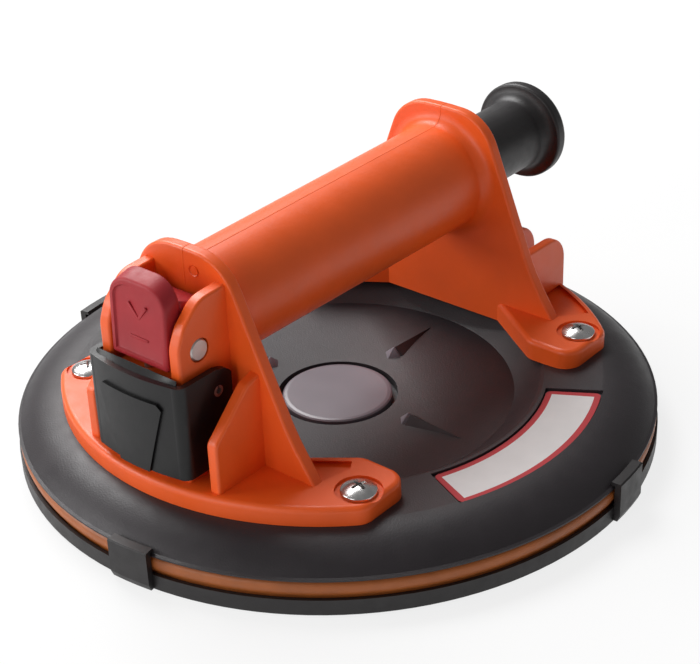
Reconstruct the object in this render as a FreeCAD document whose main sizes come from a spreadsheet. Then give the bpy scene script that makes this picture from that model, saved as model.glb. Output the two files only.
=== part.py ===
"""Hand vacuum lifter for floor tiles.

A ribbed plastic plate with a rubber suction pad under it carries a tube handle on two webs.
The handle is the barrel of a plunger pump. A release valve stands between two ears at the front,
worked by a tilting lever, behind a hinged guard. A clip-fastened cover protects the sealing face.

Row frame: millimetres, +Z up, the floor at Z = 0, the cup's centre at X = Y = 0. The handle runs
along Y with the release lever at -Y and the pump knob at +Y.
"""
import FreeCAD, Part
import math
import os
import re

import Sketcher

DOC = FreeCAD.newDocument("TileLifter")
SHEET = DOC.addObject("Spreadsheet::Sheet", "Sizes")

SIZES = [
    # --- the cup: plate, pad and protective cover -------------------------------------------
    ("plate_radius", 101.1, "outer radius of the plate and of the top of the rubber pad"),
    ("rim_height", 11.4, "underside of the plate's rim, where the pad meets it"),
    ("rim_lip", 0.8, "height of the plate's upright lip"),
    ("rim_inset", 0.9, "width of the narrow ledge on top of the lip"),
    ("shoulder_radius", 84.0, "where the flat land turns into the rounded shoulder"),
    ("shoulder_height", 19.3, "height of the land at the shoulder"),
    ("ridge_radius", 65.8, "inner edge of the land"),
    ("ridge_height", 18.2, "height of the land at its inner edge"),
    ("ridge_round", 1.4, "width of the rounded inner edge"),
    ("dish_radius", 56.5, "outer radius of the dished middle"),
    ("dish_edge_height", 11.0, "height of the dish at its edge"),
    ("dish_floor_height", 9.2, "height of the dish beside the centre cap"),
    ("plate_wall", 3.0, "wall of the plate"),
    ("flange_width", 6.2, "width of the plate's flat rim underneath"),
    ("centre_floor", 5.1, "underside of the plate at the centre"),
    ("centre_wall", 1.4, "wall under the centre cap"),
    ("centre_boss_radius", 20.5, "radius of the flat middle underneath"),
    ("rib_thickness", 2.0, "radial ribs under the land"),
    ("rib_count", 12, "radial ribs under the land"),
    ("dart_start", 26.0, "inner end of each stiffening dart in the dish"),
    ("dart_nose", 3.9, "length of the dart's sloping nose"),
    ("dart_end", 49.0, "outer end of each dart"),
    ("dart_half", 6.0, "half width of a dart at its foot"),
    ("dart_top", 12.1, "height of a dart's crest"),
    ("label_inner", 66.9, "inner radius of the label's recess"),
    ("label_outer", 84.6, "outer radius of the label's recess"),
    ("label_angle", 52.0, "angle that the recess spans"),
    ("label_depth", 1.0, "depth of the recess"),
    ("label_gap", 0.35, "gap round the label"),
    ("label_thickness", 0.4, "thickness of the label"),
    ("pad_undercut", 1.3, "how far the pad's lip stands in at its foot"),
    ("lip_width", 8.8, "width of the sealing face"),
    ("lip_slope", 2.2, "how far the lip's inner wall leans"),
    ("pad_web", 2.8, "thickness of the rubber between lip and middle"),
    ("pad_skin", 2.0, "thickness of the rubber under the dish"),
    ("pad_landing", 67.0, "where the rubber leaves the dish for the rim"),
    ("seal_groove", 1.0, "depth of the ring groove in the sealing face"),
    ("cover_gap", 0.5, "clearance between the pad's lip and the cover's wall"),
    ("cover_floor", 1.2, "thickness of the cover's floor"),
    ("cover_height", 5.6, "height of the cover's wall"),
    ("cover_wall", 1.2, "thickness of the cover's wall"),
    ("cover_chamfer", 0.7, "bevel on the cover's lower edge"),
    ("clip_thickness", 2.1, "thickness of a cover clip"),
    ("clip_angle", 7.7, "angle that a clip spans"),
    ("clip_top", 13.9, "top of a clip"),
    ("clip_hook", 1.1, "thickness of a clip's hook"),
    ("clip_reach", 1.2, "how far a hook reaches over the rim"),
    ("clip_start", 0.9, "height where a clip leaves the cover's wall"),
    ("clip_turn", 5.9, "how far the clips stand round from the handle's axes"),
    # --- the centre fastening -------------------------------------------------------------
    ("bolt_radius", 2.5, "centre bolt, M5"),
    ("bolt_gap", 0.1, "clearance round a bolt"),
    ("bolt_head_radius", 4.6, "countersunk head of the centre bolt"),
    ("bolt_end", 8.7, "top of the centre bolt"),
    ("retainer_radius", 17.0, "pad retainer disc"),
    ("retainer_thickness", 1.5, "pad retainer disc"),
    ("nut_radius", 4.6, "corner radius of the centre nut"),
    ("nut_height", 2.1, "height of the centre nut"),
    ("cap_radius", 17.6, "centre cap"),
    ("cap_groove", 1.8, "open groove round the cap"),
    ("cap_top", 9.6, "height of the cap's face"),
    ("cap_wall", 0.7, "wall of the cap"),
    ("cap_skirt", 1.6, "wall of the cap's skirt"),
    ("cap_bevel", 0.5, "bevel round the cap"),
    # --- the handle moulding ----------------------------------------------------------------
    ("axis_height", 65.2, "height of the handle's and the pump's axis"),
    ("front_face", 61.7, "front face of the front web, from the centre"),
    ("rear_face", 55.6, "front face of the rear web, from the centre"),
    ("web_thickness", 4.0, "thickness of both webs"),
    ("front_web_top", 85.7, "top of the front web"),
    ("front_crown_half", 14.8, "half width of the front web's crown, its corners not rounded"),
    ("rear_web_top", 88.3, "top of the rear web"),
    ("rear_crown_half", 16.6, "half width of the rear web's crown, its corners not rounded"),
    ("web_crown_drop", 0.4, "fall of the crown to its ends"),
    ("web_crown_round", 115.0, "radius of the crown"),
    ("web_corner_round", 15.0, "rounding between crown and side"),
    ("web_waist_half", 35.9, "half width where the side flares"),
    ("web_waist_height", 38.0, "height where the side flares"),
    ("web_foot_half", 44.5, "half width of a web at its foot"),
    ("web_flare_round", 60.0, "rounding where the side flares"),
    ("tube_front_radius", 16.6, "outer radius of the handle tube at its front"),
    ("tube_rear_radius", 17.9, "outer radius of the handle tube at its rear"),
    ("front_flare", 2.2, "fillet between tube and front web"),
    ("rear_flare", 3.8, "fillet between tube and rear web"),
    ("foot_top", 25.0, "height of the feet"),
    ("foot_inner_half", 23.0, "half width of a foot's straight inner edge"),
    ("foot_tip_inner", 45.5, "inner corner of a foot's tip, sideways"),
    ("foot_tip_edge", 41.0, "inner edge of a foot's tip, along the handle"),
    ("foot_tip_outer", 61.7, "outer corner of a foot's tip, sideways"),
    ("foot_corner_half", 62.2, "where the foot's arc starts, sideways"),
    ("foot_radius", 86.5, "radius of a foot's outer arc"),
    ("foot_rim", 2.2, "width of the rim beside a foot's hollow"),
    ("seat_radius", 6.9, "round seat of a foot screw"),
    ("seat_depth", 0.9, "depth of that seat"),
    ("hollow_depth", 1.6, "depth of the hollow beside a web"),
    ("hollow_slope", 40.0, "slope of the hollow's walls, from upright"),
    ("hollow_start", 27.0, "where the front foot's hollow starts, sideways"),
    ("foot_round", 6.0, "rounding of the foot's corners"),
    ("foot_edge_round", 1.7, "rounding of the foot's upper edge"),
    ("edge_round", 0.9, "rounding of the moulding's edges"),
    ("ear_inner_half", 11.5, "inner faces of the lever's ears"),
    ("ear_thickness", 4.1, "thickness of an ear"),
    ("ear_front", 81.0, "front edge of the ears"),
    ("ear_bend", 67.0, "height where the ear's edge leans back"),
    ("ear_shoulder", 78.6, "where the ear starts to turn back, along the handle"),
    ("ear_shoulder_height", 72.5, "height of that point"),
    ("ear_round", 8.0, "rounding of the ear's corners"),
    ("ear_knee", 71.5, "where the ear's edge turns again, along the handle"),
    ("ear_knee_height", 79.2, "height of that corner"),
    ("ear_top", 79.6, "height of the ear at the web"),
    ("rib_inner_half", 22.4, "inner faces of the front ribs"),
    ("rib_width", 3.8, "thickness of the front ribs"),
    ("rib_front", 80.4, "front edge of the front ribs"),
    ("rib_bend", 40.6, "height where the front rib leans back"),
    ("rib_knee", 66.6, "where the rib's edge turns level, along the handle"),
    ("rib_knee_height", 53.7, "height of that corner"),
    ("rib_top", 55.0, "height of the rib at the web"),
    ("rib_round", 3.0, "rounding of the rib's corners"),
    ("fin_thickness", 3.4, "thickness of the fins behind the rear web"),
    ("inner_fin_half", 16.2, "inner faces of the two inner fins"),
    ("inner_fin_end", 82.4, "rear edge of the inner fins"),
    ("inner_fin_top", 43.3, "top of the inner fins"),
    ("outer_fin_half", 29.2, "inner faces of the two outer fins"),
    ("outer_fin_end", 80.8, "rear edge of the outer fins"),
    ("outer_fin_top", 43.3, "top of the outer fins"),
    ("fin_rise", 0.4, "rise of a fin's top towards the web"),
    ("fin_round", 9.0, "rounding of a fin's tip"),
    # --- fasteners of the feet ------------------------------------------------------------
    ("screw_circle", 77.8, "radius of the circle through the four foot screws"),
    ("screw_turn", 45.0, "angle of the first foot screw from +X"),
    ("screw_radius", 2.5, "foot screw, M5"),
    ("screw_head_radius", 5.3, "pan head of a foot screw"),
    ("screw_head_height", 2.7, "pan head of a foot screw"),
    ("screw_head_rim", 1.1, "upright edge of the pan head"),
    ("screw_dome", 9.6, "radius of the pan head's dome"),
    ("screw_length", 11.0, "shank of a foot screw"),
    ("recess_half", 2.9, "half length of a driver recess's arm"),
    ("recess_arm", 0.65, "half width of a driver recess's arm"),
    ("recess_depth", 1.7, "depth of a driver recess"),
    ("insert_radius", 3.6, "brass insert"),
    ("insert_length", 5.6, "brass insert"),
    ("boss_radius", 6.4, "boss round an insert"),
    ("boss_foot", 11.8, "lower end of a boss"),
    # --- the pump -------------------------------------------------------------------------
    ("bore_radius", 14.4, "bore of the handle tube"),
    ("bore_front", 52.0, "front end of the bore, from the centre"),
    ("cylinder_wall", 1.2, "wall of the cylinder liner"),
    ("plug_body", 6.0, "length of the plug in the bore"),
    ("plug_spigot", 4.0, "length of the plug's spigot in the liner"),
    ("plug_gap", 0.05, "clearance of the spigot"),
    ("seal_section", 0.9, "section radius of the plug's ring seal"),
    ("valve_disc_radius", 6.0, "umbrella of the inlet valve"),
    ("valve_disc_rise", 1.3, "height of the umbrella"),
    ("valve_stem_radius", 1.5, "stem of the inlet valve"),
    ("valve_bulb_radius", 2.2, "bulb of the inlet valve"),
    ("inlet_circle", 3.9, "radius of the circle through the inlet holes"),
    ("inlet_hole", 0.8, "radius of an inlet hole"),
    ("inlet_count", 6, "number of inlet holes"),
    ("plenum_depth", 2.5, "depth of the hollow in the plug's front"),
    ("plenum_radius", 5.0, "radius of the hollow in the plug's front"),
    ("pipe_drop", 11.0, "how far the air pipe lies below the pump's axis"),
    ("pipe_radius", 2.2, "outer radius of the air pipe"),
    ("pipe_bore", 1.3, "bore of the air pipe"),
    ("pipe_insertion", 4.0, "how far the air pipe enters plug and block"),
    ("bush_length", 9.6, "length of the guide bush in the bore"),
    ("bush_flange", 1.9, "thickness of the bush's flange"),
    ("bush_flange_radius", 16.4, "radius of the bush's flange"),
    ("wiper_width", 1.8, "width of the wiper ring"),
    ("wiper_depth", 1.2, "depth of the wiper ring"),
    ("rod_radius", 12.0, "radius of the plunger's rod"),
    ("rod_wall", 2.4, "wall of the plunger's rod"),
    ("rod_gap", 0.06, "running clearance of rod and seals"),
    ("piston_gap", 0.2, "clearance of the piston"),
    ("stop_gap", 0.3, "gap between piston and guide bush, plunger out"),
    ("piston_length", 6.2, "length of the piston"),
    ("cup_length", 3.8, "length of the piston's cup seal"),
    ("cup_wall", 1.3, "wall of the cup seal"),
    ("washer_radius", 10.8, "spring plate in front of the cup seal"),
    ("washer_thickness", 1.5, "spring plate in front of the cup seal"),
    ("piston_screw_radius", 2.0, "piston screw, M4"),
    ("piston_screw_head", 3.8, "head radius of the piston screw"),
    ("piston_screw_rise", 2.4, "head height of the piston screw"),
    ("piston_screw_length", 14.0, "shank of the piston screw"),
    ("spring_radius", 8.6, "mean radius of the pump spring"),
    ("spring_wire", 0.7, "wire radius of the pump spring"),
    ("spring_turns", 7, "turns of the pump spring"),
    ("knob_front", 99.5, "front of the knob's flange, from the centre"),
    ("knob_radius", 16.7, "radius of the knob"),
    ("knob_thickness", 5.2, "thickness of the knob's flange"),
    ("knob_round", 2.2, "rounding of the knob's edge"),
    ("knob_flare", 4.0, "fillet between rod and knob"),
    ("knob_dome", 0.8, "rise of the knob's face"),
    # --- the release valve ------------------------------------------------------------------
    ("block_half", 9.5, "half width of the valve block"),
    ("block_front", 82.2, "front face of the valve block"),
    ("block_top", 56.4, "top of the valve block"),
    ("block_round", 2.0, "rounding of the valve block"),
    ("stem_place", 77.8, "the valve stem's axis, from the centre"),
    ("stem_radius", 1.4, "radius of the valve stem"),
    ("stem_gap", 0.05, "running clearance of the stem"),
    ("stem_proud", 2.3, "how far the stem stands out of the block at rest"),
    ("chamber_radius", 3.4, "radius of the valve chamber"),
    ("chamber_top", 38.0, "top of the valve chamber"),
    ("poppet_radius", 2.9, "radius of the stem's poppet"),
    ("poppet_thickness", 1.6, "thickness of the poppet"),
    ("washer_seal", 0.8, "thickness of the poppet's rubber washer"),
    ("valve_plug_length", 2.2, "plug that closes the valve chamber"),
    ("valve_spring_radius", 2.0, "mean radius of the valve spring"),
    ("valve_spring_wire", 0.3, "wire radius of the valve spring"),
    ("valve_spring_turns", 6, "turns of the valve spring"),
    ("nipple_place", 70.5, "axis of the suction nipple, from the centre"),
    ("nipple_radius", 2.4, "outer radius of the suction nipple"),
    ("nipple_bore", 1.3, "bore of the suction nipple and its channel"),
    ("nipple_entry", 3.0, "how far the nipple enters the block"),
    ("nipple_collar", 1.4, "thickness of the nipple's collar"),
    ("nipple_collar_radius", 4.6, "radius of the nipple's collar"),
    ("cross_height", 31.0, "height of the channel between nipple and valve chamber"),
    ("cross_radius", 1.1, "radius of that channel"),
    # --- the release lever ------------------------------------------------------------------
    ("axle_place", 73.1, "axis of the lever's axle, from the centre"),
    ("axle_height", 64.4, "height of the lever's axle"),
    ("axle_radius", 2.0, "radius of the axle"),
    ("axle_gap", 0.06, "running clearance of the axle"),
    ("axle_head_radius", 3.3, "head of the axle"),
    ("axle_head_depth", 1.5, "height of the axle's head"),
    ("axle_head_gap", 0.3, "clearance round the axle's head"),
    ("lever_side_gap", 0.6, "clearance between lever and ears"),
    ("lever_bottom", 59.0, "underside of the lever"),
    ("lever_back", 63.3, "rear face of the lever"),
    ("lever_back_height", 74.0, "top of the lever's arm at its rear"),
    ("arm_front_height", 78.5, "top of the lever's arm behind the paddle"),
    ("paddle_front", 81.2, "front face of the paddle at its foot"),
    ("paddle_lean", 1.2, "how far the paddle's front leans back to its top"),
    ("paddle_back", 74.2, "rear face of the paddle"),
    ("paddle_top", 83.0, "top of the paddle"),
    ("paddle_rise", 2.0, "rise of the paddle's top towards its back"),
    ("paddle_round", 6.2, "rounding of the paddle's upper corners"),
    ("paddle_border", 1.5, "width of the raised border on the paddle"),
    ("paddle_recess", 0.7, "depth of the paddle's recessed face"),
    ("paddle_recess_foot", 62.0, "lower end of the recessed face"),
    ("lever_round", 0.8, "rounding of the lever's front and arm edges"),
    # --- the guard ----------------------------------------------------------------------------
    ("guard_half", 18.5, "half width of the guard"),
    ("guard_wall", 1.9, "wall of the guard"),
    ("guard_corner_front", 84.9, "front of the guard at its corners"),
    ("guard_corner_half", 15.4, "half width of the guard's front"),
    ("guard_bow", 72.0, "radius of the guard's bowed front"),
    ("guard_corner_round", 3.1, "radius of the guard's corners"),
    ("guard_bottom", 28.3, "lower edge of the guard"),
    ("guard_top", 57.9, "upper edge of the guard"),
    ("guard_rear", 64.6, "rear edge of the guard's wings"),
    ("hinge_place", 70.0, "the guard's hinge axis, from the centre"),
    ("hinge_height", 51.0, "height of the guard's hinge axis"),
    ("wing_foot_rear", 73.4, "rear edge of the wings at their foot"),
    ("wing_foot_height", 37.0, "height where the wing's rear edge turns upright"),
    ("lug_radius", 6.6, "rounding of the wings about the hinge"),
    ("pin_radius", 1.7, "roll pin of the guard"),
    ("pin_bore", 0.95, "hollow of the roll pin"),
    ("pin_slit", 0.5, "slit of the roll pin"),
    ("pin_length", 6.6, "length of a roll pin"),
    ("pin_gap", 0.06, "running clearance of the guard on its pins"),
    ("panel_rise", 0.8, "how far the guard's panel stands out"),
    ("panel_top", 51.6, "top of the guard's panel"),
    ("panel_top_half", 12.2, "half width of the panel's top"),
    ("panel_foot_half", 5.8, "half width of the panel's foot"),
    ("panel_corner", 1.6, "bevel at the panel's upper corners"),
]

NAMES = set()
for row, (alias, size, note) in enumerate(SIZES, 1):
    SHEET.set(f"A{row}", note)
    SHEET.set(f"B{row}", str(size))
    SHEET.setAlias(f"B{row}", alias)
    NAMES.add(alias)
DOC.recompute()

# Heights and places that several pieces share, worked out from the sizes.
SHARED = {
    "lip_top": "(rim_height + rim_lip)",
    "shoulder_round": "(((plate_radius - rim_inset - shoulder_radius)^2"
                      " + (shoulder_height - lip_top)^2) / (2 * (shoulder_height - lip_top)))",
    "land_slope": "((shoulder_height - ridge_height) / (shoulder_radius - ridge_radius))",
    "pad_waist_radius": "(plate_radius - pad_undercut)",
    "lip_inner_radius": "(pad_waist_radius - lip_width)",
    "cover_radius": "(pad_waist_radius + cover_gap + cover_wall)",
    "recess_radius": "(cap_radius + cap_groove)",
    "centre_seat": "(centre_floor + centre_wall)",
    "cylinder_radius": "(bore_radius - cylinder_wall)",
    "plug_front": "bore_front",
    "plug_face": "(bore_front - plug_body - plug_spigot)",
    "liner_front": "(bore_front - plug_body)",
    "cylinder_rear": "(rear_back - bush_length)",
    "piston_rear": "(cylinder_rear - stop_gap)",
    "front_back": "(front_face - web_thickness)",
    "rear_back": "(rear_face + web_thickness)",
    "screw_seat": "(foot_top - seat_depth)",
    "ear_outer_half": "(ear_inner_half + ear_thickness)",
    "lever_half": "(ear_inner_half - lever_side_gap)",
    "piston_front": "(piston_rear - piston_length)",
    "cup_front": "(piston_front - cup_length)",
    "spring_plate": "(cup_front - washer_thickness)",
    "poppet_top": "(chamber_top - washer_seal)",
    "pipe_height": "(axis_height - pipe_drop)",
    "retainer_top": "(centre_floor - pad_skin)",
}

WORD = re.compile(r"[a-z]+_[a-z_]+[a-z]")


def bound(expression):
    """Write an expression in the sheet's names so that FreeCAD can keep it up to date."""
    text = str(expression)
    while any(word in SHARED for word in WORD.findall(text)):
        text = WORD.sub(lambda word: SHARED.get(word.group(), word.group()), text)
    return WORD.sub(lambda word: "Sizes." + word.group() if word.group() in NAMES else word.group(),
                    text)


def number(expression):
    """The value of an expression, for drawing a sketch close to where it ends up."""
    return float(SHEET.evalExpression(bound(expression)))


def bind(owner, field, expression):
    """Set a property now and tie it to the sheet."""
    owner.setExpression(field, bound(expression))


# --- sketches ------------------------------------------------------------------------------


def body_named(label, several=False):
    """A PartDesign body; several=True lets it hold a group of separate solids."""
    body = DOC.addObject("PartDesign::Body", label)
    body.Label = label
    if several:
        body.AllowCompound = True
    return body


def origin_part(body, role):
    """One of the body's own base planes or axes."""
    return next(item for item in body.Origin.OriginFeatures if item.Role == role)


def sketch_on(body, name, role, away="0", up="0"):
    """A sketch on a base plane, moved away along the plane's normal and up in the plane."""
    sketch = body.newObject("Sketcher::SketchObject", f"{body.Name}_{name}")
    sketch.AttachmentSupport = [(origin_part(body, role), "")]
    sketch.MapMode = "FlatFace"
    if away != "0":
        bind(sketch, "AttachmentOffset.Base.z", away)
    if up != "0":
        bind(sketch, "AttachmentOffset.Base.y", up)
    return sketch


def place(sketch, item, end, across, along):
    """Tie one end of a line or arc to its place in the sketch."""
    for kind, axis, value in (("DistanceX", -2, across), ("DistanceY", -1, along)):
        if str(value) == "0":
            sketch.addConstraint(Sketcher.Constraint("PointOnObject", item, end, axis))
        else:
            index = sketch.addConstraint(
                Sketcher.Constraint(kind, -1, 1, item, end, number(value)))
            bind(sketch, f"Constraints[{index}]", value)


def arc_between(start, end, radius, leftward):
    """The shorter arc from start to end, turning left or right."""
    chord = end - start
    half = chord.Length / 2
    side = FreeCAD.Vector(-chord.y, chord.x, 0).normalize()
    rise = math.sqrt(max(radius * radius - half * half, 0.0))
    centre = (start + end) * 0.5 + side * (rise if leftward else -rise)
    first, last = (start, end) if leftward else (end, start)
    angles = [math.atan2(spot.y - centre.y, spot.x - centre.x) for spot in (first, last)]
    circle = Part.Circle(centre, FreeCAD.Vector(0, 0, 1), radius)
    return Part.ArcOfCircle(circle, angles[0], angles[1])


def outline(sketch, corners):
    """Draw a closed outline through the corners.

    A corner is (across, along). A third value makes the edge into it an arc of that radius,
    turning left, or right if the radius starts with a minus sign.
    """
    spots = [FreeCAD.Vector(number(corner[0]), number(corner[1]), 0) for corner in corners]
    ends = []
    for index, corner in enumerate(corners):
        start, end = spots[index - 1], spots[index]
        if len(corner) == 3:
            leftward = not corner[2].startswith("-")
            radius = corner[2].lstrip("-")
            item = sketch.addGeometry(arc_between(start, end, number(radius), leftward), False)
            ends.append((item, 1, 2) if leftward else (item, 2, 1))
            rule = sketch.addConstraint(Sketcher.Constraint("Radius", item, number(radius)))
            bind(sketch, f"Constraints[{rule}]", radius)
        else:
            item = sketch.addGeometry(Part.LineSegment(start, end), False)
            ends.append((item, 1, 2))
    for (item, _, last), (after, first, _), corner in zip(ends, ends[1:] + ends[:1], corners):
        sketch.addConstraint(Sketcher.Constraint("Coincident", item, last, after, first))
        place(sketch, item, last, corner[0], corner[1])


def circle(sketch, across, along, radius):
    """A circle tied to its centre and radius."""
    middle = FreeCAD.Vector(number(across), number(along), 0)
    item = sketch.addGeometry(
        Part.Circle(middle, FreeCAD.Vector(0, 0, 1), number(radius)), False)
    place(sketch, item, 3, across, along)
    index = sketch.addConstraint(Sketcher.Constraint("Radius", item, number(radius)))
    bind(sketch, f"Constraints[{index}]", radius)


def turned(corners, flip_across=False, flip_along=False):
    """The outline's mirror image."""
    result = []
    for corner in corners:
        across = f"-({corner[0]})" if flip_across and corner[0] != "0" else corner[0]
        along = f"-({corner[1]})" if flip_along and corner[1] != "0" else corner[1]
        if len(corner) == 3:
            radius = corner[2]
            if flip_across != flip_along:
                radius = radius[1:] if radius.startswith("-") else "-" + radius
            result.append((across, along, radius))
        else:
            result.append((across, along))
    return result


def both_sides(half, crown=None):
    """A whole outline from its right half, listed upwards; crown arches its top edge."""
    left = turned(half, flip_across=True)[::-1]
    corners = list(half)
    corners.append(left[0][:2] + ((crown,) if crown else ()))
    # The arc that led into a corner on the right leads out of its mirror image on the left.
    for corner, before in zip(left[1:], left):
        arc = before[2:]
        if arc:
            arc = (arc[0][1:] if arc[0].startswith("-") else "-" + arc[0],)
        corners.append(corner[:2] + arc)
    return corners


# --- features -------------------------------------------------------------------------------


def feature(body, kind, name, profile):
    """A sketch-based feature of a body."""
    made = body.newObject(f"PartDesign::{kind}", f"{body.Name}_{name}")
    made.Profile = profile
    made.Refine = True
    profile.Visibility = False
    return made


def pad(body, name, profile, length, reverse=False, middle=False):
    """Extrude a sketch into material."""
    made = feature(body, "Pad", name, profile)
    bind(made, "Length", length)
    made.Reversed = reverse
    made.Midplane = middle
    return made


def pocket(body, name, profile, length, reverse=False, middle=False):
    """Extrude a sketch through material, and make sure that it removes some."""
    DOC.recompute()
    before = body.Shape.Volume
    made = feature(body, "Pocket", name, profile)
    bind(made, "Length", length)
    made.Reversed = reverse
    made.Midplane = middle
    DOC.recompute()
    if not body.Shape.Volume < before - 1e-3:
        raise RuntimeError(f"{made.Name} removes nothing")
    return made


def turn(body, name, profile, axis="V_Axis", angle=None):
    """Revolve a sketch; an angle makes a sector centred on the sketch's plane."""
    made = feature(body, "Revolution", name, profile)
    made.ReferenceAxis = (profile, [axis])
    if angle is None:
        made.Angle = 360
    else:
        made.Midplane = True
        bind(made, "Angle", angle)
    return made


def groove(body, name, profile, axis="V_Axis", angle=None):
    """Cut by revolving a sketch, and make sure that it removes some material."""
    DOC.recompute()
    before = body.Shape.Volume
    made = feature(body, "Groove", name, profile)
    made.ReferenceAxis = (profile, [axis])
    if angle is None:
        made.Angle = 360
    else:
        made.Midplane = True
        bind(made, "Angle", angle)
    DOC.recompute()
    if not body.Shape.Volume < before - 1e-3:
        raise RuntimeError(f"{made.Name} removes nothing")
    return made


def ring_of(body, name, originals, count):
    """Repeat features round the body's Z axis."""
    made = body.newObject("PartDesign::PolarPattern", f"{body.Name}_{name}")
    made.Originals = originals
    made.Axis = (origin_part(body, "Z_Axis"), [""])
    made.Angle = 360
    if isinstance(count, str):
        bind(made, "Occurrences", count)
    else:
        made.Occurrences = count
    made.Refine = True
    body.Tip = made
    return made


def soften(body, name, radius, wanted, kind="Fillet"):
    """Fillet or chamfer the edges that a test picks out."""
    DOC.recompute()
    shape = body.Tip.Shape
    names = [f"Edge{index}" for index, edge in enumerate(shape.Edges, 1) if wanted(edge)]
    if not names:
        raise RuntimeError(f"{body.Name}: no edge for {name}")
    made = body.newObject(f"PartDesign::{kind}", f"{body.Name}_{name}")
    made.Base = (body.Tip if body.Tip is not made else made.BaseFeature, names)
    bind(made, "Radius" if kind == "Fillet" else "Size", radius)
    DOC.recompute()
    return made


def is_upright(edge):
    """A straight edge along Z."""
    if not isinstance(edge.Curve, Part.Line):
        return False
    return abs(abs(edge.Curve.Direction.z) - 1) < 1e-6


def level_at(edge, height, slack=0.01):
    """Every point of the edge lies at this height."""
    box = edge.BoundBox
    return abs(box.ZMin - height) < slack and abs(box.ZMax - height) < slack


def revolved(label, corners, up="0", role="XZ_Plane", axis="V_Axis"):
    """A body made by one revolution."""
    body = body_named(label)
    sketch = sketch_on(body, "section", role, up=up)
    outline(sketch, corners)
    turn(body, "turned", sketch, axis)
    return body


def about_pump(label, corners):
    """A body turned about the pump's axis: corners are (place along the handle, radius)."""
    return revolved(label, corners, up="axis_height", role="YZ_Plane", axis="H_Axis")


# --- the cup ----------------------------------------------------------------------------------


def plate_top():
    """Upper surface of the plate, from the dish outwards, as (radius, height)."""
    return [
        ("recess_radius", "dish_floor_height"),
        ("dish_radius", "dish_edge_height"),
        ("ridge_radius - ridge_round", "ridge_height - ridge_round * 0.6"),
        ("ridge_radius", "ridge_height"),
        ("shoulder_radius", "shoulder_height"),
        ("plate_radius - rim_inset", "lip_top", "-shoulder_round"),
    ]


def make_base_plate():
    """The plate: a dished middle inside a raised, round-shouldered ring."""
    body = body_named("base_plate")
    section = sketch_on(body, "section", "XZ_Plane")
    outline(section, [
        ("bolt_radius + bolt_gap", "centre_seat"),
        ("recess_radius", "centre_seat"),
        *plate_top(),
        ("plate_radius", "lip_top - rim_lip * 0.4"),
        ("plate_radius", "rim_height"),
        ("plate_radius - flange_width", "rim_height"),
        ("plate_radius - flange_width - plate_wall", "rim_height + plate_wall"),
        ("shoulder_radius", "shoulder_height - plate_wall"),
        ("ridge_radius + plate_wall * 0.5", "ridge_height - plate_wall"),
        ("dish_radius + plate_wall * 0.7", "dish_edge_height - plate_wall"),
        ("centre_boss_radius + plate_wall * 0.5", "dish_floor_height - plate_wall"),
        ("centre_boss_radius", "centre_floor"),
        ("bolt_radius + bolt_gap", "centre_floor"),
    ])
    turn(body, "turned", section)

    # Stiffening darts: creased wedges whose level crest runs out into the rising floor.
    sections = []
    for name, away, half, height in (
            ("dart_tip", "dart_start", "dart_half * 0.1", "dish_floor_height + 0.1"),
            ("dart_crest", "dart_start + dart_nose", "dart_half", "dart_top"),
            ("dart_tail", "dart_end", "dart_half * 0.2", "dish_edge_height - 0.2")):
        sketch = sketch_on(body, name, "YZ_Plane", away=away)
        outline(sketch, [
            (f"-({half})", "dish_floor_height - plate_wall * 0.5"),
            (half, "dish_floor_height - plate_wall * 0.5"),
            ("0", height),
        ])
        sections.append(sketch)
    dart = feature(body, "AdditiveLoft", "dart", sections[0])
    dart.Sections = sections[1:]
    dart.Ruled = True
    ring_of(body, "darts", [dart], 4)

    # Ribs and screw bosses under the land.
    rib_section = sketch_on(body, "rib", "XY_Plane", away="rim_height")
    outline(rib_section, [
        ("ridge_radius + plate_wall", "-rib_thickness / 2"),
        ("plate_radius - flange_width - 1", "-rib_thickness / 2"),
        ("plate_radius - flange_width - 1", "rib_thickness / 2"),
        ("ridge_radius + plate_wall", "rib_thickness / 2"),
    ])
    rib = pad(body, "rib_pad", rib_section, "shoulder_height - plate_wall * 0.6 - rim_height - 2.6")
    ring_of(body, "ribs", [rib], "rib_count")
    boss_section = sketch_on(body, "boss", "XY_Plane", away="boss_foot")
    across = "screw_circle * cos(screw_turn * 1deg)"
    along = "screw_circle * sin(screw_turn * 1deg)"
    circle(boss_section, across, along, "boss_radius")
    boss = pad(body, "boss_pad", boss_section, "ridge_height - 1 - boss_foot")
    ring_of(body, "bosses", [boss], 4)

    insert_section = sketch_on(body, "insert_hole", "XY_Plane", away="boss_foot")
    circle(insert_section, across, along, "insert_radius")
    insert_hole = pocket(body, "insert_hole_cut", insert_section, "insert_length", reverse=True)
    ring_of(body, "insert_holes", [insert_hole], 4)
    screw_section = sketch_on(body, "screw_hole", "XY_Plane", away="boss_foot")
    circle(screw_section, across, along, "screw_radius + bolt_gap")
    screw_hole = pocket(body, "screw_hole_cut", screw_section, "foot_top", reverse=True)
    ring_of(body, "screw_holes", [screw_hole], 4)

    nipple_section = sketch_on(body, "nipple_hole", "XY_Plane", away="rim_height")
    circle(nipple_section, "0", "-nipple_place", "nipple_radius")
    pocket(body, "nipple_hole_cut", nipple_section, "foot_top", reverse=True)

    label_section = sketch_on(body, "label_recess", "XZ_Plane")
    floor = "ridge_height - label_depth + land_slope * ({0} - ridge_radius)"
    outline(label_section, [
        ("label_inner", floor.format("label_inner")),
        ("label_outer", floor.format("label_outer")),
        ("label_outer", "shoulder_height + 2"),
        ("label_inner", "shoulder_height + 2"),
    ])
    groove(body, "label_recess_cut", label_section, angle="label_angle")
    return body


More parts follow.
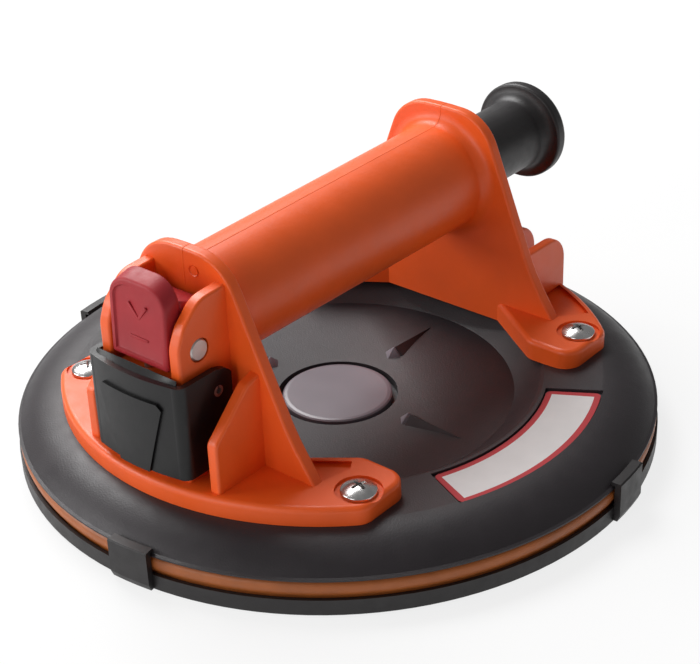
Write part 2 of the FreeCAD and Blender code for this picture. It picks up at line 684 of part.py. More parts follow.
def make_label_plate():
    """A thin blank label on the floor of its recess."""
    body = body_named("label_plate")
    section = sketch_on(body, "section", "XZ_Plane")
    floor = "ridge_height - label_depth + land_slope * ({0} - ridge_radius)"
    inner, outer = "(label_inner + label_gap)", "(label_outer - label_gap)"
    outline(section, [
        (inner, floor.format(inner)),
        (outer, floor.format(outer)),
        (outer, floor.format(outer) + " + label_thickness"),
        (inner, floor.format(inner) + " + label_thickness"),
    ])
    turn(body, "turned", section,
         angle="label_angle - 2 * label_gap / label_inner * 180 / pi")
    return body


def make_suction_pad():
    """The rubber: a skin under the dish, a free ring and a thick lip with the sealing face."""
    body = body_named("suction_pad")
    section = sketch_on(body, "section", "XZ_Plane")
    dish_out = "dish_radius + plate_wall * 0.7"
    boss_out = "centre_boss_radius + plate_wall * 0.5"
    outline(section, [
        ("bolt_radius + bolt_gap", "centre_floor"),
        ("bolt_radius + bolt_gap", "retainer_top"),
        ("centre_boss_radius - pad_skin * 0.6", "retainer_top"),
        (boss_out, "dish_floor_height - plate_wall - pad_skin"),
        (dish_out + " + pad_skin * 0.4", "dish_edge_height - plate_wall - pad_skin"),
        ("pad_landing + pad_skin * 0.4", "rim_height - pad_web"),
        ("lip_inner_radius - lip_slope", "rim_height - pad_web"),
        ("lip_inner_radius", "cover_floor"),
        ("lip_inner_radius + 3", "cover_floor"),
        ("lip_inner_radius + 3.4", "cover_floor + seal_groove"),
        ("lip_inner_radius + 4.4", "cover_floor + seal_groove"),
        ("lip_inner_radius + 4.8", "cover_floor"),
        ("pad_waist_radius", "cover_floor"),
        ("pad_waist_radius", "cover_height"),
        ("plate_radius", "rim_height"),
        ("pad_landing", "rim_height"),
        (dish_out + " + 1.5", "dish_edge_height - plate_wall + 1"),
        (dish_out, "dish_edge_height - plate_wall"),
        (boss_out, "dish_floor_height - plate_wall"),
        ("centre_boss_radius", "centre_floor"),
    ])
    turn(body, "turned", section)
    hole = sketch_on(body, "nipple_hole", "XY_Plane")
    circle(hole, "0", "-nipple_place", "nipple_radius")
    pocket(body, "nipple_hole_cut", hole, "rim_height + 1", reverse=True)
    return body


def make_protective_cover():
    """A shallow clip-on dish that guards the sealing face and stands on the floor."""
    return revolved("protective_cover", [
        ("0", "0"),
        ("cover_radius - cover_chamfer", "0"),
        ("cover_radius", "cover_chamfer"),
        ("cover_radius", "cover_height"),
        ("cover_radius - cover_wall", "cover_height"),
        ("cover_radius - cover_wall", "cover_floor"),
        ("0", "cover_floor"),
    ])


def make_cover_clips():
    """Four spring fingers moulded on the cover, hooked over the plate's rim."""
    body = body_named("cover_clips", several=True)
    section = sketch_on(body, "section", "XZ_Plane")
    outline(section, [
        ("cover_radius", "clip_start"),
        ("cover_radius + clip_thickness * 0.6", "clip_start"),
        ("cover_radius + clip_thickness", "clip_start + clip_thickness"),
        ("cover_radius + clip_thickness", "clip_top - 0.4"),
        ("cover_radius + clip_thickness - 0.4", "clip_top"),
        ("plate_radius - clip_reach + 0.5", "clip_top"),
        ("plate_radius - clip_reach", "clip_top - clip_hook"),
        ("cover_radius", "clip_top - clip_hook"),
    ])
    clip = turn(body, "turned", section, angle="clip_angle")
    ring_of(body, "clips", [clip], 4)
    bind(body, "Placement.Rotation.Angle", "clip_turn * 1deg")
    return body


# --- centre fastening ---------------------------------------------------------------------------


def make_pad_retainer():
    """The steel disc that clamps the rubber to the plate."""
    return revolved("pad_retainer", [
        ("bolt_head_radius + bolt_gap", "retainer_top - retainer_thickness"),
        ("retainer_radius - retainer_thickness", "retainer_top - retainer_thickness"),
        ("retainer_radius", "retainer_top"),
        ("bolt_radius + bolt_gap", "retainer_top"),
    ])


def make_centre_bolt():
    """Countersunk bolt through retainer, rubber and plate."""
    body = revolved("centre_bolt", [
        ("0", "retainer_top - retainer_thickness"),
        ("bolt_head_radius", "retainer_top - retainer_thickness"),
        ("bolt_radius", "retainer_top"),
        ("bolt_radius", "bolt_end"),
        ("0", "bolt_end"),
    ])
    return body


def make_centre_nut():
    """Hexagon nut on the centre bolt, under the cap."""
    prism = DOC.addObject("Part::Prism", "centre_nut_block")
    prism.Polygon = 6
    bind(prism, "Circumradius", "nut_radius")
    bind(prism, "Height", "nut_height")
    hole = DOC.addObject("Part::Cylinder", "centre_nut_bore")
    bind(hole, "Radius", "bolt_radius")
    bind(hole, "Height", "nut_height")
    nut = DOC.addObject("Part::Cut", "centre_nut")
    nut.Base, nut.Tool = prism, hole
    bind(nut, "Placement.Base.z", "centre_seat")
    return nut


def make_centre_cap():
    """The smooth cap in the middle of the dish."""
    return revolved("centre_cap", [
        ("0", "cap_top - cap_wall"),
        ("cap_radius - cap_skirt", "cap_top - cap_wall"),
        ("cap_radius - cap_skirt", "centre_seat"),
        ("cap_radius", "centre_seat"),
        ("cap_radius", "cap_top - cap_bevel"),
        ("cap_radius - cap_bevel", "cap_top - cap_bevel * 0.3"),
        ("cap_radius - cap_bevel * 3", "cap_top"),
        ("0", "cap_top"),
    ])


# --- the handle moulding --------------------------------------------------------------------


def foot_outline():
    """Right half of the rear foot, seen from above."""
    return [
        ("foot_inner_half", "rear_face"),
        ("foot_tip_inner", "foot_tip_edge"),
        ("foot_tip_outer", "foot_tip_edge"),
        ("foot_corner_half", "sqrt(foot_radius^2 - foot_corner_half^2)"),
    ]


def foot_corners(rear):
    """The whole outline of the front or rear foot."""
    right = foot_outline()
    if not rear:
        right[0] = ("foot_inner_half", "front_back")
    left = turned(right, flip_across=True)[::-1]
    left[0] = left[0] + ("foot_radius",)
    corners = right + left
    return corners if rear else turned(corners, flip_along=True)


def hollow_corners(rear, left):
    """The hollow beside a web: on the front feet towards the dish, on the rear feet behind."""
    if rear:
        inner = "(foot_radius - foot_rim)"
        fin = "(outer_fin_half + fin_thickness)"
        tip = "(web_foot_half + 3 * foot_rim)"
        corners = [
            (fin, "rear_back"),
            ("web_foot_half", "rear_back"),
            (tip, f"sqrt({inner}^2 - {tip}^2)"),
            (fin, f"sqrt({inner}^2 - {fin}^2)", inner),
        ]
    else:
        corners = [
            ("hollow_start", "front_back"),
            ("web_foot_half", "foot_tip_edge + 2 * foot_rim"),
            ("web_foot_half + foot_rim", "foot_tip_edge + 3.5 * foot_rim"),
            ("web_foot_half", "front_back"),
        ]
    return turned(corners, flip_across=left, flip_along=not rear)


def web_corners(end):
    """A web seen from the front: a bell with a flat crown."""
    top = f"{end}_web_top"
    return both_sides([
        ("web_foot_half", "rim_height"),
        ("web_foot_half", "foot_top"),
        ("web_waist_half", "web_waist_height"),
        (f"{end}_crown_half", f"{top} - web_crown_drop"),
    ], "web_crown_round")


def side_plate(body, name, corners, inner_half, thickness, corner_round, web):
    """A pair of upright plates parallel to the handle, one each side, all edges rounded."""
    for side, away in (("right", inner_half), ("left", f"-({inner_half}) - {thickness}")):
        sketch = sketch_on(body, f"{name}_{side}", "YZ_Plane", away=away)
        outline(sketch, corners)
        pad(body, f"{name}_{side}_pad", sketch, thickness)
    planes = [number(inner_half), number(f"{inner_half} + {thickness}")]
    foot, web_face = number("foot_top"), number(web)

    def tip(edge):
        box = edge.BoundBox
        return (abs(box.XLength - number(thickness)) < 0.01 and box.YLength < 0.01
                and box.ZLength < 0.01 and box.ZMin > foot + 1
                and abs(box.YMin - web_face) > 0.5
                and abs(abs(box.Center.x) - sum(planes) / 2) < 0.01)

    soften(body, f"{name}_corners", corner_round, tip)

    def rim(edge):
        box = edge.BoundBox
        if box.ZMin < foot - 0.01 or box.ZMax < foot + 1:
            return False
        if box.YLength < 0.01 and abs(box.YMin - web_face) < 0.01:
            return False
        return box.XLength < 0.01 and any(abs(abs(box.XMin) - x) < 0.01 for x in planes)

    soften(body, f"{name}_edges", "edge_round", rim)


def web_plate(body, end, away, faces):
    """One web across the handle, its outline and edges rounded."""
    web = sketch_on(body, f"{end}_web", "XZ_Plane", away=away)
    outline(web, web_corners(end))
    pad(body, f"{end}_web_pad", web, "web_thickness")
    planes = [number(face) for face in faces]
    foot, axis = number("foot_top"), number("axis_height")

    def across(edge):
        box = edge.BoundBox
        return (abs(box.YLength - number("web_thickness")) < 0.01 and box.XLength < 0.01
                and box.ZLength < 0.01 and abs(box.Center.y - sum(planes) / 2) < 0.01)

    soften(body, f"{end}_web_corners", "web_corner_round",
           lambda edge: across(edge) and edge.BoundBox.ZMin > axis)
    soften(body, f"{end}_web_waist", "web_flare_round",
           lambda edge: across(edge) and foot + 1 < edge.BoundBox.ZMin < axis)

    def rim(edge):
        box = edge.BoundBox
        if box.ZMin < foot - 0.01 or box.ZMax < foot + 1:
            return False
        return box.YLength < 0.01 and any(abs(box.YMin - y) < 0.01 for y in planes)

    soften(body, f"{end}_web_edges", "edge_round", rim)


def make_handle_frame():
    """Feet, webs, tube, ears, ribs and fins, all one moulding."""
    body = body_named("handle_frame")
    for rear in (False, True):
        end = "rear" if rear else "front"
        sketch = sketch_on(body, f"{end}_foot", "XY_Plane", away="rim_height")
        outline(sketch, foot_corners(rear))
        if rear:
            body.AllowCompound = True
        pad(body, f"{end}_foot_pad", sketch, "foot_top - rim_height")
    corner_spots = [(number("foot_tip_inner"), number("foot_tip_edge")),
                    (number("foot_tip_outer"), number("foot_tip_edge")),
                    (number("foot_corner_half"),
                     number("sqrt(foot_radius^2 - foot_corner_half^2)"))]

    def foot_corner(edge):
        if not is_upright(edge):
            return False
        spot = edge.Vertexes[0].Point
        return any(abs(abs(spot.x) - x) < 0.01 and abs(abs(spot.y) - y) < 0.01
                   for x, y in corner_spots)

    soften(body, "foot_corners", "foot_round", foot_corner)
    soften(body, "foot_edges", "foot_edge_round",
           lambda edge: level_at(edge, number("foot_top"))
           and (abs(edge.CenterOfMass.x) > number("foot_inner_half")
                or abs(edge.CenterOfMass.y) > number("front_face")))
    web_plate(body, "front", "front_back", ("-front_face", "-front_back"))
    web_plate(body, "rear", "-rear_back", ("rear_face", "rear_back"))

    tube = sketch_on(body, "tube", "YZ_Plane", up="axis_height")
    outline(tube, [
        ("-front_back - 1", "0"),
        ("rear_face + 1", "0"),
        ("rear_face + 1", "tube_rear_radius + rear_flare"),
        ("rear_face", "tube_rear_radius + rear_flare"),
        ("rear_face - rear_flare", "tube_rear_radius", "-rear_flare"),
        ("-front_back + front_flare", "tube_front_radius"),
        ("-front_back", "tube_front_radius + front_flare", "-front_flare"),
        ("-front_back - 1", "tube_front_radius + front_flare"),
    ])
    turn(body, "tube_turned", tube, "H_Axis")

    side_plate(body, "ear", [
        ("-front_face + 1", "rim_height"),
        ("-front_face + 1", "ear_top"),
        ("-front_face", "ear_top"),
        ("-ear_knee", "ear_knee_height"),
        ("-ear_shoulder", "ear_shoulder_height"),
        ("-ear_front", "ear_bend"),
        ("-ear_front", "rim_height"),
    ], "ear_inner_half", "ear_thickness", "ear_round", "-front_face")
    side_plate(body, "rib", [
        ("-front_face + 1", "rim_height"),
        ("-front_face + 1", "rib_top"),
        ("-front_face", "rib_top"),
        ("-rib_knee", "rib_knee_height"),
        ("-rib_front", "rib_bend"),
        ("-rib_front", "rim_height"),
    ], "rib_inner_half", "rib_width", "rib_round", "-front_face")
    for kind in ("inner", "outer"):
        side_plate(body, f"{kind}_fin", [
            ("rear_back - 1", "rim_height"),
            (f"{kind}_fin_end", "rim_height"),
            (f"{kind}_fin_end", f"{kind}_fin_top"),
            ("rear_back", f"{kind}_fin_top + fin_rise"),
            ("rear_back - 1", f"{kind}_fin_top + fin_rise"),
        ], f"{kind}_fin_half", "fin_thickness", "fin_round", "rear_back")

    for rear in (False, True):
        for left in (False, True):
            name = f"{'rear' if rear else 'front'}_{'left' if left else 'right'}_hollow"
            sketch = sketch_on(body, name, "XY_Plane", away="foot_top")
            outline(sketch, hollow_corners(rear, left))
            cut = pocket(body, name + "_cut", sketch, "hollow_depth")
            bind(cut, "TaperAngle", "hollow_slope")
    seat = sketch_on(body, "screw_seat", "XY_Plane", away="screw_seat")
    circle(seat, "screw_circle * cos(screw_turn * 1deg)",
           "screw_circle * sin(screw_turn * 1deg)", "seat_radius")
    cut = pocket(body, "screw_seat_cut", seat, "seat_depth + 1", reverse=True)
    ring_of(body, "screw_seats", [cut], 4)

    # The feet are hollowed underneath to sit on the plate's land and shoulder.
    seat = sketch_on(body, "seat", "XZ_Plane")
    outline(seat, [
        ("0", "0"),
        ("plate_radius", "0"),
        ("plate_radius", "lip_top"),
        ("plate_radius - rim_inset", "lip_top"),
        ("shoulder_radius", "shoulder_height", "shoulder_round"),
        ("ridge_radius", "ridge_height"),
        ("dish_radius", "ridge_height"),
        ("0", "ridge_height"),
    ])
    groove(body, "seat_cut", seat)

    bore = sketch_on(body, "bore", "YZ_Plane", up="axis_height")
    outline(bore, [
        ("-bore_front", "0"),
        ("rear_back + 1", "0"),
        ("rear_back + 1", "bore_radius"),
        ("-bore_front", "bore_radius"),
    ])
    groove(body, "bore_cut", bore, "H_Axis")

    pipe_hole = sketch_on(body, "pipe_hole", "XZ_Plane", away="bore_front - 1")
    circle(pipe_hole, "0", "pipe_height", "pipe_radius")
    pocket(body, "pipe_hole_cut", pipe_hole, "front_face - bore_front + 2", reverse=True)
    nipple_hole = sketch_on(body, "nipple_hole", "XY_Plane", away="rim_height")
    circle(nipple_hole, "0", "-nipple_place", "nipple_radius")
    pocket(body, "nipple_hole_cut", nipple_hole, "foot_top - rim_height + 1", reverse=True)
    collar_seat = sketch_on(body, "collar_seat", "XY_Plane", away="foot_top - nipple_collar")
    circle(collar_seat, "0", "-nipple_place", "nipple_collar_radius")
    pocket(body, "collar_seat_cut", collar_seat, "nipple_collar + 1", reverse=True)
    screw_hole = sketch_on(body, "screw_hole", "XY_Plane", away="rim_height")
    circle(screw_hole, "screw_circle * cos(screw_turn * 1deg)",
           "screw_circle * sin(screw_turn * 1deg)", "screw_radius + bolt_gap")
    hole = pocket(body, "screw_hole_cut", screw_hole, "foot_top", reverse=True)
    ring_of(body, "screw_holes", [hole], 4)

    axle_hole = sketch_on(body, "axle_hole", "YZ_Plane")
    circle(axle_hole, "-axle_place", "axle_height", "axle_radius")
    pocket(body, "axle_hole_cut", axle_hole, "2 * ear_outer_half + 2", middle=True)
    head_seat = sketch_on(body, "head_seat", "YZ_Plane", away="ear_outer_half - axle_head_depth")
    circle(head_seat, "-axle_place", "axle_height", "axle_head_radius + axle_head_gap")
    pocket(body, "head_seat_cut", head_seat, "axle_head_depth + 1", reverse=True)
    pin_hole = sketch_on(body, "pin_hole", "YZ_Plane")
    circle(pin_hole, "-hinge_place", "hinge_height", "pin_radius")
    pocket(body, "pin_hole_cut", pin_hole, "2 * ear_outer_half + 2", middle=True)
    return body


# --- fasteners of the feet ----------------------------------------------------------------------


def make_foot_screws():
    """Four pan-head screws with cross recesses, in one group."""
    body = body_named("foot_screws", several=True)
    section = sketch_on(body, "section", "XZ_Plane")
    head = "(screw_seat + screw_head_height)"
    outline(section, [
        ("screw_circle", f"{head} - screw_head_height - screw_length"),
        ("screw_circle + screw_radius", f"{head} - screw_head_height - screw_length"),
        ("screw_circle + screw_radius", "screw_seat"),
        ("screw_circle + screw_head_radius", "screw_seat"),
        ("screw_circle + screw_head_radius", "screw_seat + screw_head_rim"),
        ("screw_circle", head, "screw_dome"),
    ])
    line = sketch_line(section, "screw_circle")
    made = feature(body, "Revolution", "turned", section)
    made.ReferenceAxis = (section, [line])
    made.Angle = 360
    recess = sketch_on(body, "recess", "XY_Plane", away=f"{head} - recess_depth")
    outline(recess, cross_corners("screw_circle"))
    cut = pocket(body, "recess_cut", recess, "recess_depth + 1", reverse=True)
    ring_of(body, "screws", [made, cut], 4)
    bind(body, "Placement.Rotation.Angle", "screw_turn * 1deg")
    return body


def sketch_line(sketch, across):
    """An upright construction line to revolve about; returns its axis name."""
    top = number("foot_top")
    spot = number(across)
    item = sketch.addGeometry(
        Part.LineSegment(FreeCAD.Vector(spot, 0, 0), FreeCAD.Vector(spot, top, 0)), True)
    place(sketch, item, 1, across, "0")
    place(sketch, item, 2, across, "foot_top")
    return "Axis0"


def cross_corners(middle):
    """A cross-shaped driver recess."""
    arm, half = "recess_arm", "recess_half"
    steps = [(half, f"-{arm}"), (half, arm), (arm, arm), (arm, half), (f"-{arm}", half),
             (f"-{arm}", arm), (f"-{half}", arm), (f"-{half}", f"-{arm}"),
             (f"-{arm}", f"-{arm}"), (f"-{arm}", f"-{half}"), (arm, f"-{half}"),
             (arm, f"-{arm}")]
    return [(f"{middle} + {across}".replace("+ -", "- "), along) for across, along in steps]


def make_foot_inserts():
    """Four brass inserts pressed into the plate's bosses."""
    body = body_named("foot_inserts", several=True)
    ring = sketch_on(body, "ring", "XY_Plane", away="boss_foot")
    circle(ring, "screw_circle", "0", "insert_radius")
    circle(ring, "screw_circle", "0", "screw_radius")
    insert = pad(body, "insert", ring, "insert_length")
    ring_of(body, "inserts", [insert], 4)
    bind(body, "Placement.Rotation.Angle", "screw_turn * 1deg")
    return body


# --- the pump -------------------------------------------------------------------------------------


def make_pump_cylinder():
    """The metal liner that the piston runs in."""
    return about_pump("pump_cylinder", [
        ("-liner_front", "cylinder_radius"),
        ("cylinder_rear", "cylinder_radius"),
        ("cylinder_rear", "bore_radius"),
        ("-liner_front", "bore_radius"),
    ])


def make_cylinder_plug():
    """Closes the barrel's front and carries the inlet valve and the air pipe."""
    body = about_pump("cylinder_plug", [
        ("-plug_front", "plenum_radius"),
        ("-plug_front + plenum_depth", "plenum_radius"),
        ("-plug_front + plenum_depth", "valve_stem_radius"),
        ("-plug_face", "valve_stem_radius"),
        ("-plug_face", "cylinder_radius - plug_gap"),
        ("-liner_front + plug_spigot * 0.8", "cylinder_radius - plug_gap"),
        ("-liner_front + plug_spigot * 0.8", "cylinder_radius - 2 * seal_section"),
        ("-liner_front + plug_spigot * 0.8 - 2 * seal_section",
         "cylinder_radius - 2 * seal_section"),
        ("-liner_front + plug_spigot * 0.8 - 2 * seal_section", "cylinder_radius - plug_gap"),
        ("-liner_front", "cylinder_radius - plug_gap"),
        ("-liner_front", "bore_radius"),
        ("-plug_front", "bore_radius"),
    ])
    inlet = sketch_on(body, "inlet", "XZ_Plane", away="plug_face - 1", up="axis_height")
    for index in range(int(number("inlet_count"))):
        angle = f"({index} * 360deg / inlet_count)"
        circle(inlet, f"inlet_circle * cos{angle}", f"inlet_circle * sin{angle}", "inlet_hole")
    pocket(body, "inlet_cut", inlet, "plug_body + plug_spigot", reverse=True)
    pipe = sketch_on(body, "pipe", "XZ_Plane", away="plug_front - pipe_insertion")
    circle(pipe, "0", "pipe_height", "pipe_radius")
    pocket(body, "pipe_cut", pipe, "pipe_insertion + 1", reverse=True)
    slot = sketch_on(body, "slot", "XZ_Plane", away="plug_front - plenum_depth")
    outline(slot, [
        ("-pipe_bore", "pipe_height"),
        ("pipe_bore", "pipe_height"),
        ("pipe_bore", "axis_height - valve_bulb_radius"),
        ("-pipe_bore", "axis_height - valve_bulb_radius"),
    ])
    pocket(body, "slot_cut", slot, "plenum_depth + 1", reverse=True)
    return body


def make_plug_seal():
    """Ring seal between plug and liner."""
    middle = "(-liner_front + plug_spigot * 0.8 - seal_section)"
    body = body_named("plug_seal")
    section = sketch_on(body, "section", "YZ_Plane", up="axis_height")
    circle(section, middle, "cylinder_radius - seal_section", "seal_section")
    turn(body, "turned", section, "H_Axis")
    return body


def make_inlet_valve():
    """Umbrella valve: its rubber rim lifts to let air into the barrel."""
    return about_pump("inlet_valve", [
        ("-plug_front + plenum_depth - 2.2", "0"),
        ("-plug_face + valve_disc_rise", "0"),
        ("-plug_face + valve_disc_rise", "valve_stem_radius"),
        ("-plug_face + valve_disc_rise * 0.5", "valve_disc_radius"),
        ("-plug_face", "valve_disc_radius"),
        ("-plug_face", "valve_stem_radius"),
        ("-plug_front + plenum_depth", "valve_stem_radius"),
        ("-plug_front + plenum_depth", "valve_bulb_radius"),
        ("-plug_front + plenum_depth - 1.2", "valve_bulb_radius"),
    ])


def make_guide_bush():
    """Guides the plunger's rod and stops the piston."""
    return about_pump("guide_bush", [
        ("rear_back - bush_length", "rod_radius + rod_gap"),
        ("rear_back - bush_length * 0.5", "rod_radius + rod_gap"),
        ("rear_back - bush_length * 0.5", "rod_radius + wiper_depth"),
        ("rear_back - bush_length * 0.5 + wiper_width", "rod_radius + wiper_depth"),
        ("rear_back - bush_length * 0.5 + wiper_width", "rod_radius + rod_gap"),
        ("rear_back + bush_flange", "rod_radius + rod_gap"),
        ("rear_back + bush_flange", "bush_flange_radius - bush_flange * 0.5"),
        ("rear_back + bush_flange * 0.5", "bush_flange_radius"),
        ("rear_back", "bush_flange_radius"),
        ("rear_back", "bore_radius"),
        ("rear_back - bush_length", "bore_radius"),
    ])


def make_rod_wiper():
    """Felt ring in the guide bush that keeps dust off the rod."""
    return about_pump("rod_wiper", [
        ("rear_back - bush_length * 0.5", "rod_radius + rod_gap"),
        ("rear_back - bush_length * 0.5 + wiper_width", "rod_radius + rod_gap"),
        ("rear_back - bush_length * 0.5 + wiper_width", "rod_radius + wiper_depth"),
        ("rear_back - bush_length * 0.5", "rod_radius + wiper_depth"),
    ])


def make_pump_plunger():
    """Rod and knob, one moulding, hollow from the front for the piston's screw boss."""
    knob_end = "knob_front + knob_thickness"
    bore = "(rod_radius - rod_wall)"
    body = about_pump("pump_plunger", [
        ("piston_rear - 1", "piston_screw_radius"),
        ("piston_rear + piston_screw_length * 0.6", "piston_screw_radius"),
        ("piston_rear + piston_screw_length * 0.6", bore),
        (f"{knob_end} - 4 * knob_dome", bore),
        (f"{knob_end} - 4 * knob_dome", "0"),
        (f"{knob_end} + knob_dome", "0"),
        (knob_end, "knob_radius - knob_round"),
        (f"{knob_end} - knob_round", "knob_radius", "knob_round"),
        ("knob_front + knob_round * 0.5", "knob_radius"),
        ("knob_front", "knob_radius - knob_round * 0.5", "knob_round * 0.5"),
        ("knob_front", "rod_radius + knob_flare"),
        ("knob_front - knob_flare", "rod_radius", "-knob_flare"),
        ("piston_rear", "rod_radius"),
        ("piston_rear", "rod_radius * 0.5"),
        ("piston_rear - 1", "rod_radius * 0.5"),
    ])
    return body


def make_piston():
    """Disc on the rod's front end."""
    return about_pump("piston", [
        ("piston_front", "piston_screw_radius"),
        ("piston_rear - 1", "piston_screw_radius"),
        ("piston_rear - 1", "rod_radius * 0.5"),
        ("piston_rear", "rod_radius * 0.5"),
        ("piston_rear", "cylinder_radius - piston_gap"),
        ("piston_front", "cylinder_radius - piston_gap"),
    ])


def make_piston_cup():
    """Leather-type cup seal: it folds to let air past on the way in and seals on the way out."""
    return about_pump("piston_cup", [
        ("cup_front + cup_length - cup_wall", "piston_screw_radius"),
        ("piston_front", "piston_screw_radius"),
        ("piston_front", "cylinder_radius - rod_gap"),
        ("cup_front", "cylinder_radius - rod_gap"),
        ("cup_front", "cylinder_radius - cup_wall"),
        ("cup_front + cup_length - cup_wall", "cylinder_radius - cup_wall"),
    ])


def make_spring_plate():
    """Plate that clamps the cup seal and seats the pump's spring."""
    return about_pump("spring_plate", [
        ("spring_plate", "piston_screw_radius"),
        ("piston_front - cup_wall", "piston_screw_radius"),
        ("piston_front - cup_wall", "washer_radius"),
        ("spring_plate + washer_thickness * 0.5", "washer_radius"),
        ("spring_plate", "washer_radius - washer_thickness * 0.5"),
    ])


def make_piston_screw():
    """Holds spring plate, cup and piston on the rod."""
    return about_pump("piston_screw", [
        ("spring_plate - piston_screw_rise", "0"),
        ("spring_plate - piston_screw_rise + piston_screw_length", "0"),
        ("spring_plate - piston_screw_rise + piston_screw_length", "piston_screw_radius"),
        ("spring_plate", "piston_screw_radius"),
        ("spring_plate", "piston_screw_head"),
        ("spring_plate - piston_screw_rise * 0.7", "piston_screw_head"),
        ("spring_plate - piston_screw_rise", "piston_screw_head - piston_screw_rise * 0.3"),
    ])


def coil(label, radius, wire, length, turns, placement):
    """A compression spring: a wire swept along a helix."""
    helix = Part.makeHelix(length / turns, length, radius)
    start = helix.Edges[0].valueAt(helix.Edges[0].FirstParameter)
    tangent = helix.Edges[0].tangentAt(helix.Edges[0].FirstParameter)
    section = Part.Wire([Part.makeCircle(wire, start, tangent)])
    solid = Part.Wire(helix.Edges).makePipeShell([section], True, True)
    spring = DOC.addObject("Part::Feature", label)
    spring.Shape = solid
    spring.Placement = placement
    return spring


def make_pump_spring():
    """Pushes the plunger out."""
    wire = number("spring_wire")
    front = -number("plug_face") + wire
    length = number("spring_plate") - wire - front
    along_handle = FreeCAD.Rotation(FreeCAD.Vector(1, 0, 0), -90)
    at = FreeCAD.Vector(0, front, number("axis_height"))
    return coil("pump_spring", number("spring_radius"), wire, length, number("spring_turns"),
                FreeCAD.Placement(at, along_handle))


# --- air way and release valve --------------------------------------------------------------


def make_air_pipe():
    """Short pipe from the pump's plug through the front web into the valve block."""
    body = body_named("air_pipe")
    section = sketch_on(body, "section", "XZ_Plane", away="plug_front - pipe_insertion")
    circle(section, "0", "pipe_height", "pipe_radius")
    circle(section, "0", "pipe_height", "pipe_bore")
    pad(body, "pipe", section, "front_face - plug_front + 2 * pipe_insertion")
    return body


def make_valve_block():
    """Houses the release valve between the ears."""
    body = body_named("valve_block")
    base = sketch_on(body, "base", "XY_Plane", away="foot_top")
    outline(base, [
        ("-block_half", "-front_face"),
        ("-block_half", "-block_front"),
        ("block_half", "-block_front"),
        ("block_half", "-front_face"),
    ])
    pad(body, "block", base, "block_top - foot_top")
    soften(body, "corners", "block_round",
           lambda edge: is_upright(edge)
           and abs(edge.CenterOfMass.y + number("block_front")) < 0.01)
    stem_hole = sketch_on(body, "stem_hole", "XY_Plane", away="foot_top")
    circle(stem_hole, "0", "-stem_place", "stem_radius + stem_gap")
    pocket(body, "stem_hole_cut", stem_hole, "block_top - foot_top + 1", reverse=True)
    chamber = sketch_on(body, "chamber", "XY_Plane", away="foot_top")
    circle(chamber, "0", "-stem_place", "chamber_radius")
    pocket(body, "chamber_cut", chamber, "chamber_top - foot_top", reverse=True)
    channel = sketch_on(body, "channel", "XY_Plane", away="foot_top")
    circle(channel, "0", "-nipple_place", "nipple_bore")
    pocket(body, "channel_cut", channel, "pipe_height - foot_top", reverse=True)
    entry = sketch_on(body, "entry", "XY_Plane", away="foot_top")
    circle(entry, "0", "-nipple_place", "nipple_radius")
    pocket(body, "entry_cut", entry, "nipple_entry", reverse=True)
    pipe_way = sketch_on(body, "pipe_way", "XZ_Plane", away="front_face")
    circle(pipe_way, "0", "pipe_height", "pipe_radius")
    pocket(body, "pipe_way_cut", pipe_way, "pipe_insertion", reverse=True)
    pipe_end = sketch_on(body, "pipe_end", "XZ_Plane", away="front_face")
    circle(pipe_end, "0", "pipe_height", "pipe_bore")
    pocket(body, "pipe_end_cut", pipe_end, "nipple_place - front_face", reverse=True)
    cross = sketch_on(body, "cross", "XZ_Plane", away="nipple_place")
    circle(cross, "0", "cross_height", "cross_radius")
    pocket(body, "cross_cut", cross, "stem_place - nipple_place", reverse=True)
    return body


def make_valve_plug():
    """Closes the valve chamber from below and seats its spring."""
    body = body_named("valve_plug")
    section = sketch_on(body, "section", "XY_Plane", away="foot_top")
    circle(section, "0", "-stem_place", "chamber_radius")
    pad(body, "plug", section, "valve_plug_length")
    return body


def make_release_stem():
    """Stem with a poppet on its foot; pushed down, it lets air into the cup."""
    body = body_named("release_stem")
    poppet = sketch_on(body, "poppet", "XY_Plane", away="poppet_top - poppet_thickness")
    circle(poppet, "0", "-stem_place", "poppet_radius")
    pad(body, "poppet_pad", poppet, "poppet_thickness")
    stem = sketch_on(body, "stem", "XY_Plane", away="poppet_top - poppet_thickness")
    circle(stem, "0", "-stem_place", "stem_radius")
    pad(body, "stem_pad", stem, "block_top + stem_proud - poppet_top + poppet_thickness")
    soften(body, "nose", "stem_radius * 0.4",
           lambda edge: level_at(edge, number("block_top + stem_proud")))
    return body


def make_stem_washer():
    """Rubber washer that seals the poppet against the chamber's roof."""
    body = body_named("stem_washer")
    section = sketch_on(body, "section", "XY_Plane", away="poppet_top")
    circle(section, "0", "-stem_place", "poppet_radius")
    circle(section, "0", "-stem_place", "stem_radius")
    pad(body, "washer", section, "washer_seal")
    return body


def make_release_spring():
    """Holds the poppet shut."""
    wire = number("valve_spring_wire")
    foot = number("foot_top + valve_plug_length") + wire
    length = number("poppet_top - poppet_thickness") - wire - foot
    at = FreeCAD.Vector(0, -number("stem_place"), foot)
    return coil("release_spring", number("valve_spring_radius"), wire, length,
                number("valve_spring_turns"), FreeCAD.Placement(at, FreeCAD.Rotation()))


